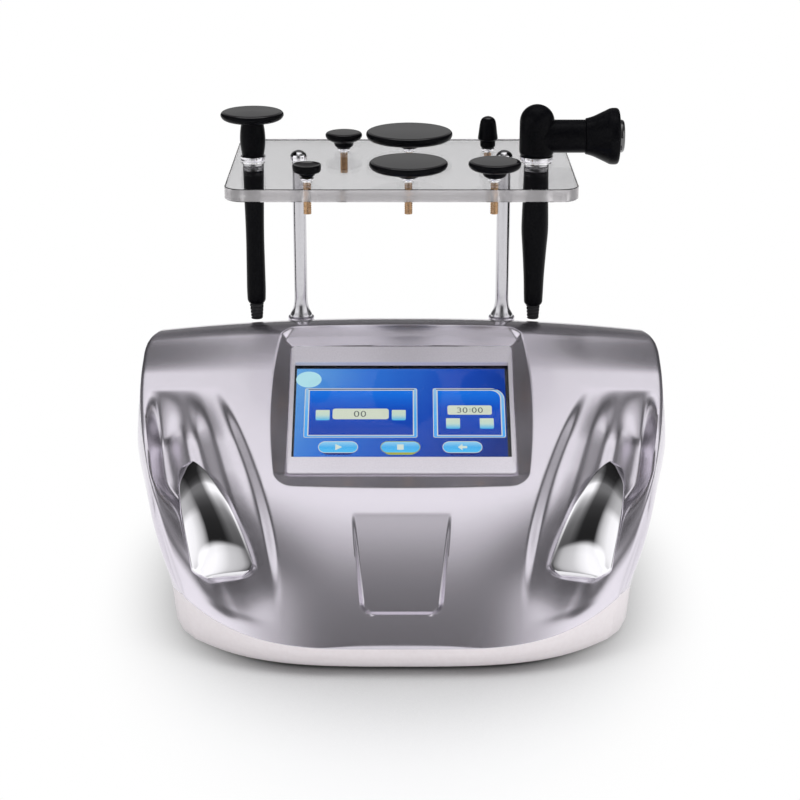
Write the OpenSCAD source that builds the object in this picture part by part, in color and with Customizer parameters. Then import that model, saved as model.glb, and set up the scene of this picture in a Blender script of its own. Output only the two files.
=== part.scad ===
// Desktop radio-frequency facial toning device: silver pebble housing with a touch screen,
// and a clear tray on two posts that holds two handles and six spare electrodes.
// Millimetres. X to the right, Y to the back, Z up. The feet stand on z = 0.

/* [Housing] */
// Height of the lower edge of the silver cover at the front centre
parting_front_z = 17.4; // [14:0.2:22]
// Height of the lower edge of the silver cover along the sides
parting_side_z = 42; // [38:1:48]
// Wall thickness of both moulded shells
shell_wall = 2.8; // [2:0.1:3.4]
// Distance from the origin to the lowest front edge
front_depth = 161.5; // [155:0.5:170]
// Largest half width of the face, from the middle to its edge
face_half_width = 194; // [188:1:200]
// Steepness of the face at its lower front edge, degrees
front_slope = 62.6; // [58:0.2:66]
// Slope of the flat part of the face that holds the screen, degrees
face_slope = 32; // [28:1:36]
// Radius of the lower front bulge
bulge_r = 223; // [200:1:240]
// Length of the flat part of the face along the slope
flat_len = 142.8; // [135:0.2:150]
// Radius of the roll at the top of the face
crest_r = 27; // [22:1:32]
// Radius of the gentle top
top_r = 100; // [80:5:120]
// Radius of the roll down to the back wall
back_r = 55; // [45:1:60]
// Radius of the edge between face and side wall
edge_r = 5; // [4:0.5:7]
// Gap between the two shells at their parting line
shell_gap = 0.4; // [0.2:0.1:0.8]
// How far the base stands inside the cover's lower edge
base_inset = 1.2; // [0.8:0.1:2]

/* [Screen] */
// Depth of the dish floor below the face
dish_depth = 6.6; // [5:0.2:8]
// Width of the lit area of the display
lit_w = 154; // [150:1:156]
// Length of the lit area of the display
lit_l = 86; // [84:0.5:88]
// Black margin between the lit area and the sides of the frame's opening
side_margin = 2.2; // [1.5:0.1:3]
// Black margin between the lit area and the ends of the frame's opening
end_margin = 1.1; // [0.8:0.1:2]
// Width of the frame beside its opening
frame_side = 2.3; // [1.5:0.1:6]
// Width of the frame above and below its opening
frame_end = 14.4; // [12:0.1:16]
// Thickness of the frame plate
frame_t = 1.2; // [1:0.1:2]
// How far the collar round the opening reaches below the plate
collar_h = 4; // [3:0.5:6]
// How far the display module reaches past the sides of the frame
module_side = 1; // [0:0.5:3]
// How far the display module reaches past the ends of the frame's opening
module_end = 5.9; // [4:0.1:7]
// Thickness of the display module
lcd_t = 5.7; // [4:0.1:8]
// Thickness of the touch glass
glass_t = 1.1; // [0.8:0.1:2]

/* [Recesses] */
// Depth of the U-shaped recess at its lower end
u_depth = 6; // [4:0.5:8]
// Depth of the side scoops
scoop_depth = 13; // [10:0.5:15]
// Thickness of the chrome insets
inset_t = 2.2; // [1.6:0.2:3]

/* [Tray and posts] */
// Thickness of the acrylic tray
tray_t = 9.3; // [8:0.1:12]
// Width of the tray
tray_w = 252; // [240:1:270]
// Depth of the tray
tray_d = 168; // [165:1:175]
// How far the middle of the tray lies in front of the posts
tray_forward = 10; // [6:0.5:14]
// Radius of the tray's corners
tray_corner_r = 14; // [8:1:20]
// Diameter of the posts
post_d = 10; // [8:0.5:12]
// Diameter of the posts' flared feet
post_foot_d = 17; // [15:0.5:19]
// Half the distance between the posts
post_x = 77; // [72:1:80]
// Distance of the posts and the handles from the back wall
post_to_back = 38; // [36:0.5:42]
// How far the flat seats for the posts stand above the top beside them
seat_rise = 2.5; // [2:0.1:4]
// Length of the posts from their seats to the tray's upper face
post_l = 122; // [110:1:140]

/* [Handles] */
// Distance of the straight handle from the middle
left_x = 111; // [108:0.5:112]
// Distance of the elbow handle from the middle
right_x = 101; // [99:0.5:104]
// Diameter of the straight grip where it passes the tray
left_grip_d = 15.7; // [15:0.1:16.4]
// Widest diameter of the elbow handle's grip
right_grip_d = 20.5; // [19.5:0.1:21]
// Length of both grips below the tray's upper face
grip_l = 111; // [104:0.5:113]
// Diameter of the disc on the straight handle
left_disc_d = 47; // [42:1:52]
// Diameter of the elbow
elbow_d = 26; // [25:0.5:28]
// Height of the elbow's horizontal axis above the tray
elbow_rise = 18; // [16:0.5:20]
// Largest diameter of the flared cone
cone_d = 42; // [36:1:46]
// Clearance round a grip in its hole of the tray
grip_gap = 0.4; // [0.3:0.05:0.6]

/* [Electrodes] */
// Diameter of the threaded stems
stem_d = 6; // [5:0.5:7]
// Clearance round a stem in its hole of the tray
stem_gap = 0.3; // [0.2:0.05:0.5]
// Length of a stem below the tray
stem_below = 16; // [12:1:20]
// Diameter of the ring that rests on the tray
stem_ring_d = 10; // [9:0.5:12]
// Height of that ring
stem_ring_h = 1.6; // [1.2:0.1:2.4]
// Distance of the front row from the posts
front_row = 63; // [60:0.5:66]
// Distance of the rear row from the posts
rear_row = 36; // [33:0.5:38]
// Diameter of the cup electrode
cup_d = 20.6; // [18:0.2:24]
// Diameter of the wide disc in the front row
wide_disc_d = 56.7; // [50:0.5:60]
// Diameter of the medium disc in the front row
medium_disc_d = 38; // [34:1:44]
// Diameter of the small disc in the rear row
small_disc_d = 28; // [24:1:32]
// Diameter of the large disc in the rear row
large_disc_d = 66; // [60:1:70]
// Diameter of the bullet electrode at its widest
bullet_d = 15.2; // [14:0.2:18]
// Height of the bullet electrode
bullet_h = 24.2; // [22:0.2:28]

/* [Rear panel and electronics] */
// Width of the rear panel
panel_w = 216; // [210:1:230]
// Height of the rear panel
panel_h = 66; // [64:1:68]
// Thickness of the rear panel
panel_t = 2; // [1.5:0.1:2.5]
// Side of the square fan
fan_side = 50; // [46:1:51]
// Depth of the fan
fan_depth = 15; // [12:1:20]
// Number of fan blades
fan_blades = 7; // [5:1:9]
// Thickness of the circuit boards
board_t = 1.6; // [1.2:0.1:2]
// Height of the boards' standoffs above the base floor
standoff_h = 8; // [6:1:12]
// Diameter of the rubber feet
foot_d = 20; // [16:1:24]
// Height that the feet stand below the base
foot_h = 1.5; // [1:0.1:3]

/* [Hidden] */
$fn = 64;

silver = [0.74, 0.73, 0.76];
pale = [0.92, 0.90, 0.91];
steel = [0.8, 0.8, 0.82];
black = [0.06, 0.06, 0.07];
brass = [0.72, 0.52, 0.28];

// ---- smooth steps and small vector helpers ----
function clamp01(t) = max(0, min(1, t));
function ease(a, b, t) = let (k = clamp01((t - a) / (b - a))) k * k * (3 - 2 * k);
function mix(a, b, t) = a + (b - a) * t;
function unit(v) = v / max(norm(v), 1e-9);
function arc_len(r, angle) = r * angle * PI / 180;

// ---- centre profile of the cover: arcs and a flat, measured along its length p ----
crest_turn = 5;    // degrees below level where the crest roll ends
top_end = 31;      // degrees below level where the gentle top ends
p_flat = arc_len(bulge_r, front_slope - face_slope);
p_crest = p_flat + flat_len;
p_top = p_crest + arc_len(crest_r, face_slope + crest_turn);
p_roll = p_top + arc_len(top_r, top_end - crest_turn);
p_end = p_roll + arc_len(back_r, 90 - top_end);

// A point on an arc that starts at [y, z] with slope a0 and bends down, after length s
function on_arc(y, z, a0, r, s) = let (a = a0 - s / r * 180 / PI)
  [y + r * (sin(a0) - sin(a)), z + r * (cos(a) - cos(a0)), a];
flat_start = on_arc(-front_depth, parting_front_z, front_slope, bulge_r, p_flat);
flat_end = [flat_start[0] + flat_len * cos(face_slope), flat_start[1] + flat_len * sin(face_slope)];
crest_end = on_arc(flat_end[0], flat_end[1], face_slope, crest_r, p_top - p_crest);
roll_start = on_arc(crest_end[0], crest_end[1], -crest_turn, top_r, p_roll - p_top);
back_top = on_arc(roll_start[0], roll_start[1], -top_end, back_r, p_end - p_roll);
back_y = back_top[0];
front_y = -front_depth;
// Height of the gentle top at depth position y, on the middle line
function top_z(y) = let (a = asin(sin(-crest_turn) - (y - crest_end[0]) / top_r))
  crest_end[1] + top_r * (cos(a) - cos(crest_turn));
post_y = back_y - post_to_back;
seat_z = top_z(post_y) + seat_rise;
tray_top = seat_z + post_l;
grip_bottom = tray_top - grip_l;
front_row_y = post_y - front_row;
rear_row_y = post_y + rear_row;

// [y, z, slope] of the centre profile at length p
function profile(p) =
  p < p_flat ? on_arc(-front_depth, parting_front_z, front_slope, bulge_r, p) :
  p < p_crest ? [flat_start[0] + (p - p_flat) * cos(face_slope),
                 flat_start[1] + (p - p_flat) * sin(face_slope), face_slope] :
  p < p_top ? on_arc(flat_end[0], flat_end[1], face_slope, crest_r, p - p_crest) :
  p < p_roll ? on_arc(crest_end[0], crest_end[1], -crest_turn, top_r, p - p_top) :
  on_arc(roll_start[0], roll_start[1], -top_end, back_r, min(p, p_end) - p_roll);

// ---- plan of the face: half width, crown and rounded lower corners ----
crown = 8.5;            // how far the face falls away at 180 mm from the middle
crown_x = 180;
corner_x = 155;         // where the lower corners start to turn into the sides
corner_fall = 30;       // how far the lower corners fall away there
corner_p = 46;          // how far the lower edge climbs there, along the profile
back_corner_r = 22;     // radius of the upright rear corners, seen from above
top_narrow = 6.5;       // how much narrower the top is on each side than the face
function narrowed(p) = top_narrow * ease(232, 285, p);
function half_width(p) =
  let (k = clamp01((profile(p)[0] - back_y) / back_corner_r + 1))
  face_half_width - 0.00361 * pow(max(0, 225 - p), 1.78) - narrowed(p)
  - back_corner_r * (1 - sqrt(1 - k * k));
function fall(x, p) =
  let (top = crown * pow(abs(x) / crown_x, 2.2) * (1 - ease(p_roll, p_end, p)),
       low = corner_fall * pow(abs(x) / corner_x, 3.05))
  mix(low, top, ease(25, 140, p));
function edge_climb(x) = corner_p * pow(abs(x) / corner_x, 3.87);
function slope_normal(a) = [0, -sin(a), cos(a)];
// The plain surface without its recesses, sunk by depth d
function plain(x, p, d = 0) = let (q = profile(p), k = fall(x, p) + d)
  [x, q[0], q[1]] - k * slope_normal(q[2]);

// ---- recesses of the face, as depth below the plain surface ----
window_w = lit_w + 2 * side_margin;
window_l = lit_l + 2 * end_margin;
frame_w = window_w + 2 * frame_side;
frame_l = window_l + 2 * frame_end;
lcd_w = frame_w + 2 * module_side;
lcd_l = window_l + 2 * module_end;
dish_wall_w = 14.9;                // room between the frame and the dish's sides
dish_wall_l = 17.5;                // room between the frame and the dish's ends
dish_mid = p_flat + 75.5;          // middle of the dish along the profile
dish_half_l = frame_l / 2 + dish_wall_l;
dish_half_w = frame_w / 2 + dish_wall_w;
dish_top = dish_mid + dish_half_l;
dish_barrel = 7.4;                 // how much narrower the dish is at its ends
dish_bow = 3.4;                      // how much shorter the dish is at its sides
dish_corner_r = 13;
frame_mid = dish_mid;
// Distance outside (+) or inside (-) of a rounded rectangle
function rounded_box(x, y, hx, hy, r) = let (qx = abs(x) - hx + r, qy = abs(y) - hy + r)
  min(max(qx, qy), 0) + norm([max(qx, 0), max(qy, 0)]) - r;
function dish(x, p) =
  let (v = p - dish_mid,
       hw = dish_half_w - dish_barrel * pow(v / dish_half_l, 2),
       hl = dish_half_l - dish_bow * pow(x / dish_half_w, 2),
       rim = rounded_box(x, v, hw, hl, dish_corner_r),
       floor = max(0, rounded_box(x, p - frame_mid, floor_half_w, floor_half_l, 0.5)))
  rim >= 0 ? 0 : (dish_depth - fall(x, p)) * -rim / (floor - rim);

u_low = 24;            // lower end of the U recess along the profile
u_len = 74;
u_half_low = 28;
u_half_top = 35.5;
function u_recess(x, p) =
  let (k = clamp01((p - u_low) / u_len),
       side = mix(u_half_low, u_half_top, k) - abs(x),
       low = p - u_low,
       corner = 9,
       cx = max(0, corner - side),
       cy = max(0, corner - low),
       inside = corner - norm([cx, cy]))
  inside <= 0 ? 0 : u_depth * pow(1 - k, 0.8) * ease(0, 3, inside);

// Inner crease of a side scoop, from the upper inner end down to the lower lip
crease_low_x = dish_half_w - 15.4;
crease_run = 49;        // how far the crease runs out towards the side
function crease_x(p) = crease_low_x + crease_run * pow(clamp01((p - 28) / 178), 1.75);
function scoop(x, p) =
  let (inner = crease_x(p), outer = half_width(p) - edge_r - 2,
       t = (abs(x) - inner) / (outer - inner),
       reach = ease(24, 72, p) * (1 - ease(178, 214, p)),
       valley_in = sin(90 * clamp01(t / 0.28)),
       valley_out = sin(90 * clamp01((1 - t) / 0.3)),
       ridge = 0.42 * ease(96, 150, p) * exp(-pow((t - 0.5) / 0.13, 2)))
  t <= 0 || t >= 1 ? 0 : scoop_depth * reach * (min(valley_in, valley_out) - ridge);
function recess(x, p) = dish(x, p) + u_recess(x, p) + scoop(x, p);

// ---- grid of the face: columns across, rows up the profile ----
floor_half_w = frame_w / 2 + 0.5;
floor_half_l = frame_l / 2 + 0.5;
inner_columns = [0, u_half_low / 2, u_half_low, u_half_top - 1.5, u_half_top + 6.5, 60,
  floor_half_w, floor_half_w + 2, dish_half_w - 6.4, dish_half_w + 0.6];
outer_steps = 9;
rows = concat([for (k = [0:11]) edge_r + 9 * k], [112, dish_mid - dish_half_l + 1],
  [for (k = [-2:-1]) frame_mid - floor_half_l + 4.5 * k],
  [for (k = [-4:4]) frame_mid + floor_half_l * k / 4],
  [for (d = [-12.1, -5.6, 0.4, 5.4]) dish_top + d], [p_top + 4.7, mix(p_top, p_roll, 0.4),
   mix(p_top, p_roll, 0.7), p_roll, mix(p_roll, p_end, 0.3), mix(p_roll, p_end, 0.6), p_end - edge_r - 1]);
columns = let (n = len(inner_columns))
  concat([for (i = [-outer_steps:-1]) i - n + 1], [for (i = [1:n - 1]) i - n],
         [for (i = [0:n - 1]) i], [for (i = [1:outer_steps]) i + n - 1]);
last_column = len(columns) - 1;
last_row = len(rows) - 1;

// x of column i in a row whose edge lies at half width w
function column_x(i, w) =
  let (c = columns[i], k = abs(c), n = len(inner_columns), side = sign(c))
  side * (k < n ? inner_columns[k] : mix(inner_columns[n - 1], w, (k - n + 1) / outer_steps));
// How far a row climbs at x: like the lower edge below, and straight across the screen's dish
function row_climb(x, p) = edge_climb(x) * pow(max(0, 1 - p / p_end), 1.5)
  * mix(1, ease(floor_half_w + 2, 125, abs(x)), ease(60, 112, p));
// [x, p] of the sheet's point in column i, at centre length p, with the edge inset by m
function sheet(i, p, m) =
  let (w = half_width(p + corner_p * pow(1 - p / p_end, 1.5)) - m, x = column_x(i, w))
  [x, p + row_climb(x, p)];
function grid_point(i, j, d) = let (q = sheet(i, rows[j], edge_r))
  plain(q[0], q[1], recess(q[0], q[1]) + d);

// The loop round the sheet, as [column, row] pairs: front, right, back, left
loop = concat([for (i = [0:last_column]) [i, 0]], [for (j = [1:last_row]) [last_column, j]],
  [for (i = [1:last_column]) [last_column - i, last_row]],
  [for (j = [1:last_row - 1]) [0, last_row - j]]);
loop_n = len(loop);
function on_front(c) = c[1] == 0;
function on_back(c) = c[1] == last_row;
// The sharp edge that the fillet rounds off
function row_at(c) = on_front(c) ? 0 : on_back(c) ? p_end : rows[c[1]];
function edge_point(k) = let (q = sheet(loop[k][0], row_at(loop[k]), 0)) plain(q[0], q[1]);
edges = [for (k = [0:loop_n - 1]) edge_point(k)];
function around(k) = (k + loop_n) % loop_n;
// Level direction out of the housing at loop point k
outward = [for (k = [0:loop_n - 1])
  let (t = edges[around(k + 1)] - edges[around(k - 1)]) unit([t[1], -t[0], 0])];
// Lower edge of the cover below each loop point: the side walls run in towards the base
side_taper = 26;
side_bulge = 2.5;          // how far the side walls stand out halfway up
lip = 4;                   // how far the front edge is turned in
wall_full = 80;            // wall height at which the lower edge is no longer turned in
taper_end_y = front_y + 191.5;   // depth position from which the sides run in by the whole taper
corner_z = edges[last_column][2];
function parting_z(k) = let (e = edges[k])
  on_front(loop[k]) ? e[2] : min(e[2], mix(corner_z, parting_side_z, ease(front_y + 49.5, front_y + 121.5, e[1])));
drops = [for (k = [0:loop_n - 1]) clamp01((edges[k][2] - parting_z(k)) / wall_full)];
function parting_point(k) =
  let (e = edges[k], front_y = edges[last_column][1],
       taper = side_taper * ease(front_y, taper_end_y, e[1]) - narrowed(row_at(loop[k])))
  [e[0] * (1 - taper / face_half_width), e[1], parting_z(k)]
  - outward[k] * lip * (1 - ease(0, 0.3, drops[k]));
partings = [for (k = [0:loop_n - 1]) parting_point(k)];

function bezier(a, b, c, t) = mix(mix(a, b, t), mix(b, c, t), t);
// Rings of the skin at depth d: fillet, wall and lower edge. Where the wall has no height, as at
// the front, the inner skin stays above the turned-in lip.
function skin_ring(k, step, d) =
  let (a = grid_point(loop[k][0], loop[k][1], d),
       wall = ease(0, 0.12, drops[k]),
       low = partings[k] - d * (mix(0.25, 1, wall) * outward[k] - [0, 0, mix(0.7, 0, wall)]),
       e = mix((a + low) / 2, edges[k] - d * (outward[k] + [0, 0, 1]), d > 0 ? wall : 1),
       b = e + min(edge_r, 0.5 * norm(low - e)) * unit(low - e))
  step == 0 ? bezier(a, e, b, 0.35) : step == 1 ? bezier(a, e, b, 0.7) : step == 2 ? b :
  step == 3 ? mix(b, low, 0.5) + side_bulge * clamp01(norm(low - b) / 100) * abs(outward[k][0]) * outward[k] : low;
ring_steps = 5;
grid_n = (last_column + 1) * (last_row + 1);
skin_n = grid_n + ring_steps * loop_n;
function skin(d) = concat(
  [for (j = [0:last_row]) for (i = [0:last_column]) grid_point(i, j, d)],
  [for (s = [0:ring_steps - 1]) for (k = [0:loop_n - 1]) skin_ring(k, s, d)]);
function grid_id(i, j) = j * (last_column + 1) + i;
function ring_id(s, k) = s < 0 ? grid_id(loop[around(k)][0], loop[around(k)][1])
                               : grid_n + s * loop_n + around(k);
function quad(a, b, c, d, flip) = flip ? [[a, b, c], [a, c, d]] : [[a, c, b], [a, d, c]];
function skin_faces(base, flip) = concat(
  [for (j = [0:last_row - 1]) for (i = [0:last_column - 1])
    for (f = quad(grid_id(i, j), grid_id(i + 1, j), grid_id(i + 1, j + 1), grid_id(i, j + 1), flip))
      f + [base, base, base]],
  [for (s = [0:ring_steps - 1]) for (k = [0:loop_n - 1])
    for (f = quad(ring_id(s, k), ring_id(s, k + 1), ring_id(s - 1, k + 1), ring_id(s - 1, k), flip))
      f + [base, base, base]]);
rim_faces = [for (k = [0:loop_n - 1])
  for (f = quad(ring_id(ring_steps - 1, k), ring_id(ring_steps - 1, k + 1),
    skin_n + ring_id(ring_steps - 1, k + 1), skin_n + ring_id(ring_steps - 1, k), true)) f];

module cover_skin() {
  polyhedron(points = concat(skin(0), skin(shell_wall)),
    faces = concat(skin_faces(0, false), skin_faces(skin_n, true), rim_faces), convexity = 10);
}

// ---- places that several pieces share ----
// Local frame of the screen: origin on the face, z out of it
screen_at = plain(0, dish_mid);
module on_screen() {
  translate(screen_at) rotate([face_slope, 0, 0]) children();
}
floor_in = dish_depth + shell_wall;          // inner side of the dish floor
glass_top = dish_depth + collar_h;
lcd_top = glass_top + glass_t + 0.2;

module boxed(w, l, t, z) {
  translate([-w / 2, -l / 2, z]) cube([w, l, t]);
}

module rounded_plate(w, l, t, r) {
  linear_extrude(t) union() {
    square([w - 2 * r, l], center = true);
    square([w, l - 2 * r], center = true);
    for (x = [-1, 1]) for (y = [-1, 1]) translate([x * (w / 2 - r), y * (l / 2 - r)]) circle(r);
  }
}

// Case bosses: [x, p], the cover's boss comes down to meet the base's boss
boss_places = [[62, 70], [dish_half_w + 23.6, p_crest - 9.9]];
boss_d = 11;
boss_split = 40;
screw_d = 3.8;
screw_head_d = 7;
base_floor_z = foot_h + 3;
function boss_xy(b) = let (q = plain(b[0], b[1])) [q[0], q[1]];

module boss_column(b) {
  at = boss_xy(b);
  q = plain(b[0], b[1], shell_wall / 2);
  a = profile(b[1])[2];
  difference() {
    translate([at[0], at[1], boss_split]) cylinder(d = boss_d, h = q[2]);
    translate(q) rotate([a, 0, 0]) translate([-20, -60, 0]) cube([40, 120, 160]);
    translate([at[0], at[1], boss_split - 1]) cylinder(d = screw_d + 0.1, h = 15);
  }
}

// Rear panel and its opening
panel_z = 50;
panel_mid_z = panel_z + panel_h / 2;
opening_w = panel_w - 16;
opening_h = panel_h - 12;
module on_panel(x = 0, z = 0) {
  translate([x, back_y + 0.05, panel_mid_z + z]) rotate([-90, 0, 0]) children();
}

post_hole_d = 8.4;
post_thread_d = 8;
seat_d = post_foot_d + 3;
seat_h = 12;
module top_shell() {
  color(silver) difference() {
    union() {
      cover_skin();
      for (s = [-1, 1]) {
        translate([s * post_x, post_y, seat_z - seat_h]) cylinder(d = seat_d, h = seat_h);
        for (b = boss_places) boss_column([s * b[0], b[1]]);
      }
    }
    on_screen() translate([-window_w / 2 - 1.3, -window_l / 2 - 1.3, -floor_in - 3])
      cube([window_w + 2.6, window_l + 2.6, 20]);
    for (s = [-1, 1]) translate([s * post_x, post_y, seat_z - 20])
      cylinder(d = post_hole_d, h = 30);
    translate([-opening_w / 2, back_y - 12, panel_mid_z - opening_h / 2])
      cube([opening_w, 24, opening_h]);
    for (s = [-1, 1]) for (v = [-1, 1])
      on_panel(s * (panel_w / 2 - 4.5), v * (panel_h / 2 - 4.5)) translate([0, 0, -6])
        cylinder(d = 2.6, h = 8);
  }
}

// ---- base: a tapered tub under the lower edge of the cover ----
base_taper = 0.12;        // how far the base runs in for each millimetre down
crease_z = 7.7;
crease_step = 0.7;
base_levels = 5;
function base_point(k, level, d) =
  let (p = partings[k], top = p[2] - shell_gap,
       z = level == 0 ? top : level == 1 ? crease_z + 0.8 : level == 2 ? crease_z :
           level == 3 ? foot_h + 1.2 : foot_h,
       step = level >= 2 ? crease_step : 0, round = level == 4 ? 1.2 : 0,
       inset = base_inset + base_taper * (p[2] - z) + step + round + d)
  [p[0], p[1], 0] - inset * outward[k] + [0, 0, z];
function tub_point(k, level) =
  let (q = base_point(k, level == 0 ? 0 : level == 1 ? 1 : 3, shell_wall + (level == 2 ? 1 : 0)))
  level == 2 ? [q[0], q[1], base_floor_z] : q;
module base_tub() {
  base_n = loop_n;
  rings = concat(
    [for (l = [base_levels - 1:-1:0]) [for (k = [0:base_n - 1]) base_point(k, l, 0)]],
    [for (l = [0:2]) [for (k = [0:base_n - 1]) tub_point(k, l)]]);
  m = len(rings);
  polyhedron(points = [for (r = rings) for (q = r) q], convexity = 8,
    faces = concat([[for (k = [0:base_n - 1]) k]],
      [for (r = [0:m - 2]) for (k = [0:base_n - 1]) let (a = r * base_n, b = (k + 1) % base_n)
        each [[a + k, a + base_n + k, a + b], [a + b, a + base_n + k, a + base_n + b]]],
      [[for (k = [0:base_n - 1]) m * base_n - 1 - k]]));
}

board_z = base_floor_z + standoff_h;
main_board_at = [0, front_y + 99.5];
main_board_size = [92, 76];
rf_board_at = [78, back_y - 83.5];
rf_board_size = [66, 112];
supply_at = [-78, back_y - 83.5];
supply_size = [62, 112];
supply_h = 34;
vent_pitch = 7;
vent_w = 3;
vent_l = 50;
vent_y = rf_board_at[1] - vent_l - 12;
function board_corners(at, size) = [for (x = [-1, 1]) for (y = [-1, 1])
  [at[0] + x * (size[0] / 2 - 5), at[1] + y * (size[1] / 2 - 5)]];
all_standoffs = concat(board_corners(main_board_at, main_board_size),
  board_corners(rf_board_at, rf_board_size), board_corners(supply_at, supply_size));
module base_shell() {
  color(pale) difference() {
    union() {
      base_tub();
      for (q = all_standoffs) translate([q[0], q[1], base_floor_z - 1])
        cylinder(d = 7, h = standoff_h + 1);
      for (s = [-1, 1]) for (b = boss_places) let (q = boss_xy(b))
        translate([s * q[0], q[1], base_floor_z - 1]) cylinder(d = boss_d, h = boss_split - base_floor_z + 0.8);
    }
    for (s = [-1, 1]) for (b = boss_places) let (q = boss_xy(b)) translate([s * q[0], q[1], 0]) {
      cylinder(d = screw_head_d + 1, h = boss_split - 12);
      cylinder(d = screw_d + 0.4, h = boss_split + 2);
    }
    for (i = [-5:5]) for (s = [-1, 1]) translate([s * rf_board_at[0] + i * vent_pitch - vent_w / 2, vent_y, 0])
      cube([vent_w, vent_l, base_floor_z + 1]);
  }
}

module case_screws() {
  color(steel) for (s = [-1, 1]) for (b = boss_places) let (q = boss_xy(b))
    translate([s * q[0], q[1], boss_split - 12]) {
      translate([0, 0, -3]) cylinder(d = screw_head_d, h = 3);
      cylinder(d = screw_d, h = 24);
    }
}

foot_places = [[118, back_y - 30.5], [96, front_y + 43.5]];
module feet() {
  color([0.12, 0.12, 0.12]) for (s = [-1, 1]) for (q = foot_places)
    translate([s * q[0], q[1], 0]) rotate_extrude()
      polygon([[0, 0], [foot_d / 2 - 1, 0], [foot_d / 2, foot_h], [0, foot_h]]);
}

// ---- chrome insets in the scoops ----
inset_low = 50;
inset_high = 143;
inset_lift = 0.9;          // gap between inset and cover
inset_dome = 3;            // how far the middle of the inset stands up
inset_low_x = face_half_width - 71;
inset_high_x = face_half_width - 47;
function inset_mid(t) = mix(inset_low_x, inset_high_x, pow(t, 1.15)) + 9 * sin(180 * t);
function inset_half(t) = 20.5 * pow(sin(180 * clamp01(pow(t, 0.8) * 0.93 + 0.05)), 0.62);
inset_rows = 12;
inset_cols = 8;
function inset_point(i, j, d) =
  let (t = j / inset_rows, v = 2 * i / inset_cols - 1,
       p = mix(inset_low, inset_high, t), x = inset_mid(t) + v * inset_half(t),
       dome = inset_dome * (1 - v * v) * sin(180 * t))
  plain(x, p, recess(x, p) - inset_lift - d - (d > 0 ? dome : 0));
module inset() {
  n = (inset_rows + 1) * (inset_cols + 1);
  id = function (i, j) j * (inset_cols + 1) + i;
  border = concat([for (i = [0:inset_cols]) [i, 0]], [for (j = [1:inset_rows]) [inset_cols, j]],
    [for (i = [1:inset_cols]) [inset_cols - i, inset_rows]],
    [for (j = [1:inset_rows - 1]) [0, inset_rows - j]]);
  polyhedron(convexity = 6,
    points = concat([for (j = [0:inset_rows]) for (i = [0:inset_cols]) inset_point(i, j, inset_t)],
                    [for (j = [0:inset_rows]) for (i = [0:inset_cols]) inset_point(i, j, 0)]),
    faces = concat(
      [for (j = [0:inset_rows - 1]) for (i = [0:inset_cols - 1])
        each quad(id(i, j), id(i + 1, j), id(i + 1, j + 1), id(i, j + 1), false)],
      [for (j = [0:inset_rows - 1]) for (i = [0:inset_cols - 1])
        each [for (f = quad(id(i, j), id(i + 1, j), id(i + 1, j + 1), id(i, j + 1), true))
          f + [n, n, n]]],
      [for (k = [0:len(border) - 1]) let (a = border[k], b = border[(k + 1) % len(border)])
        each quad(id(a[0], a[1]), id(b[0], b[1]), n + id(b[0], b[1]), n + id(a[0], a[1]), true)]));
}
module inset_right() {
  color(steel) inset();
}
module inset_left() {
  color(steel) mirror([1, 0, 0]) inset();
}

// ---- screen pieces ----
module screen_frame() {
  color(pale) on_screen() translate([0, 0, -dish_depth + 0.2]) difference() {
    union() {
      rounded_plate(frame_w, frame_l, frame_t, 2);
      boxed(window_w + 2, window_l + 2, collar_h + 0.5, -collar_h);
    }
    boxed(window_w, window_l, 20, -10);
  }
}
module touch_glass() {
  color([0.1, 0.12, 0.3]) on_screen() boxed(lcd_w, lcd_l, glass_t, -glass_top - glass_t);
}
module lcd_module() {
  color([0.2, 0.2, 0.22]) on_screen() boxed(lcd_w, lcd_l, lcd_t, -lcd_top - lcd_t);
}
bracket_t = 1.2;
bracket_w = lcd_w + 16;
bracket_l = lcd_l - 30;
module lcd_bracket() {
  color(steel) on_screen() {
    boxed(bracket_w, bracket_l, bracket_t, -lcd_top - lcd_t - bracket_t);
    for (s = [-1, 1]) for (v = [-1, 1]) translate([s * (bracket_w / 2 - 3), v * (bracket_l / 2 - 7), 0])
      translate([0, 0, -lcd_top - lcd_t]) cylinder(d = 5, h = lcd_top + lcd_t - floor_in - 0.3);
  }
}

// ---- rear panel and what it carries ----
fan_x = 70;
inlet_x = -76;
switch_x = -29;
socket_x = [-4, 20];
fan_hole_r = fan_side / 2 - 2.5;
inlet_size = [28, 20];
drawer_x = 19;
switch_size = [19, 13];
socket_d = 15;
socket_bore_d = 12;
contact_d = 1.6;
contact_ring_r = 3.6;
contact_depth = 5;
module rear_panel() {
  color([0.55, 0.55, 0.58]) on_panel() difference() {
    rounded_plate(panel_w, panel_h, panel_t, 3);
    translate([fan_x, 0, -1]) cylinder(r = fan_hole_r, h = 4);
    translate([inlet_x, 0, -1]) boxed(inlet_size[0] + 0.4, inlet_size[1] + 0.4, 4, 0);
    translate([inlet_x + drawer_x, 0, -1]) boxed(9.4, 20.4, 4, 0);
    translate([switch_x, 0, -1]) boxed(switch_size[0] + 0.4, switch_size[1] + 0.4, 4, 0);
    for (x = socket_x) translate([x, 0, -1]) cylinder(d = socket_d + 0.3, h = panel_t + 2);
    for (s = [-1, 1]) for (v = [-1, 1])
      translate([s * (panel_w / 2 - 4.5), v * (panel_h / 2 - 4.5), -1]) cylinder(d = 3.2, h = 4);
    for (s = [-1, 1]) for (v = [-1, 1])
      translate([fan_x + s * (fan_side / 2 - 5), v * (fan_side / 2 - 5), -1]) cylinder(d = 3.2, h = 4);
  }
}
module round_screw(head_d, d, l) {
  rotate_extrude() polygon([[0, 1.8], [head_d / 4, 1.6], [head_d / 2, 0.5], [head_d / 2, 0],
    [d / 2, 0], [d / 2, -l], [0, -l]]);
}
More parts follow.
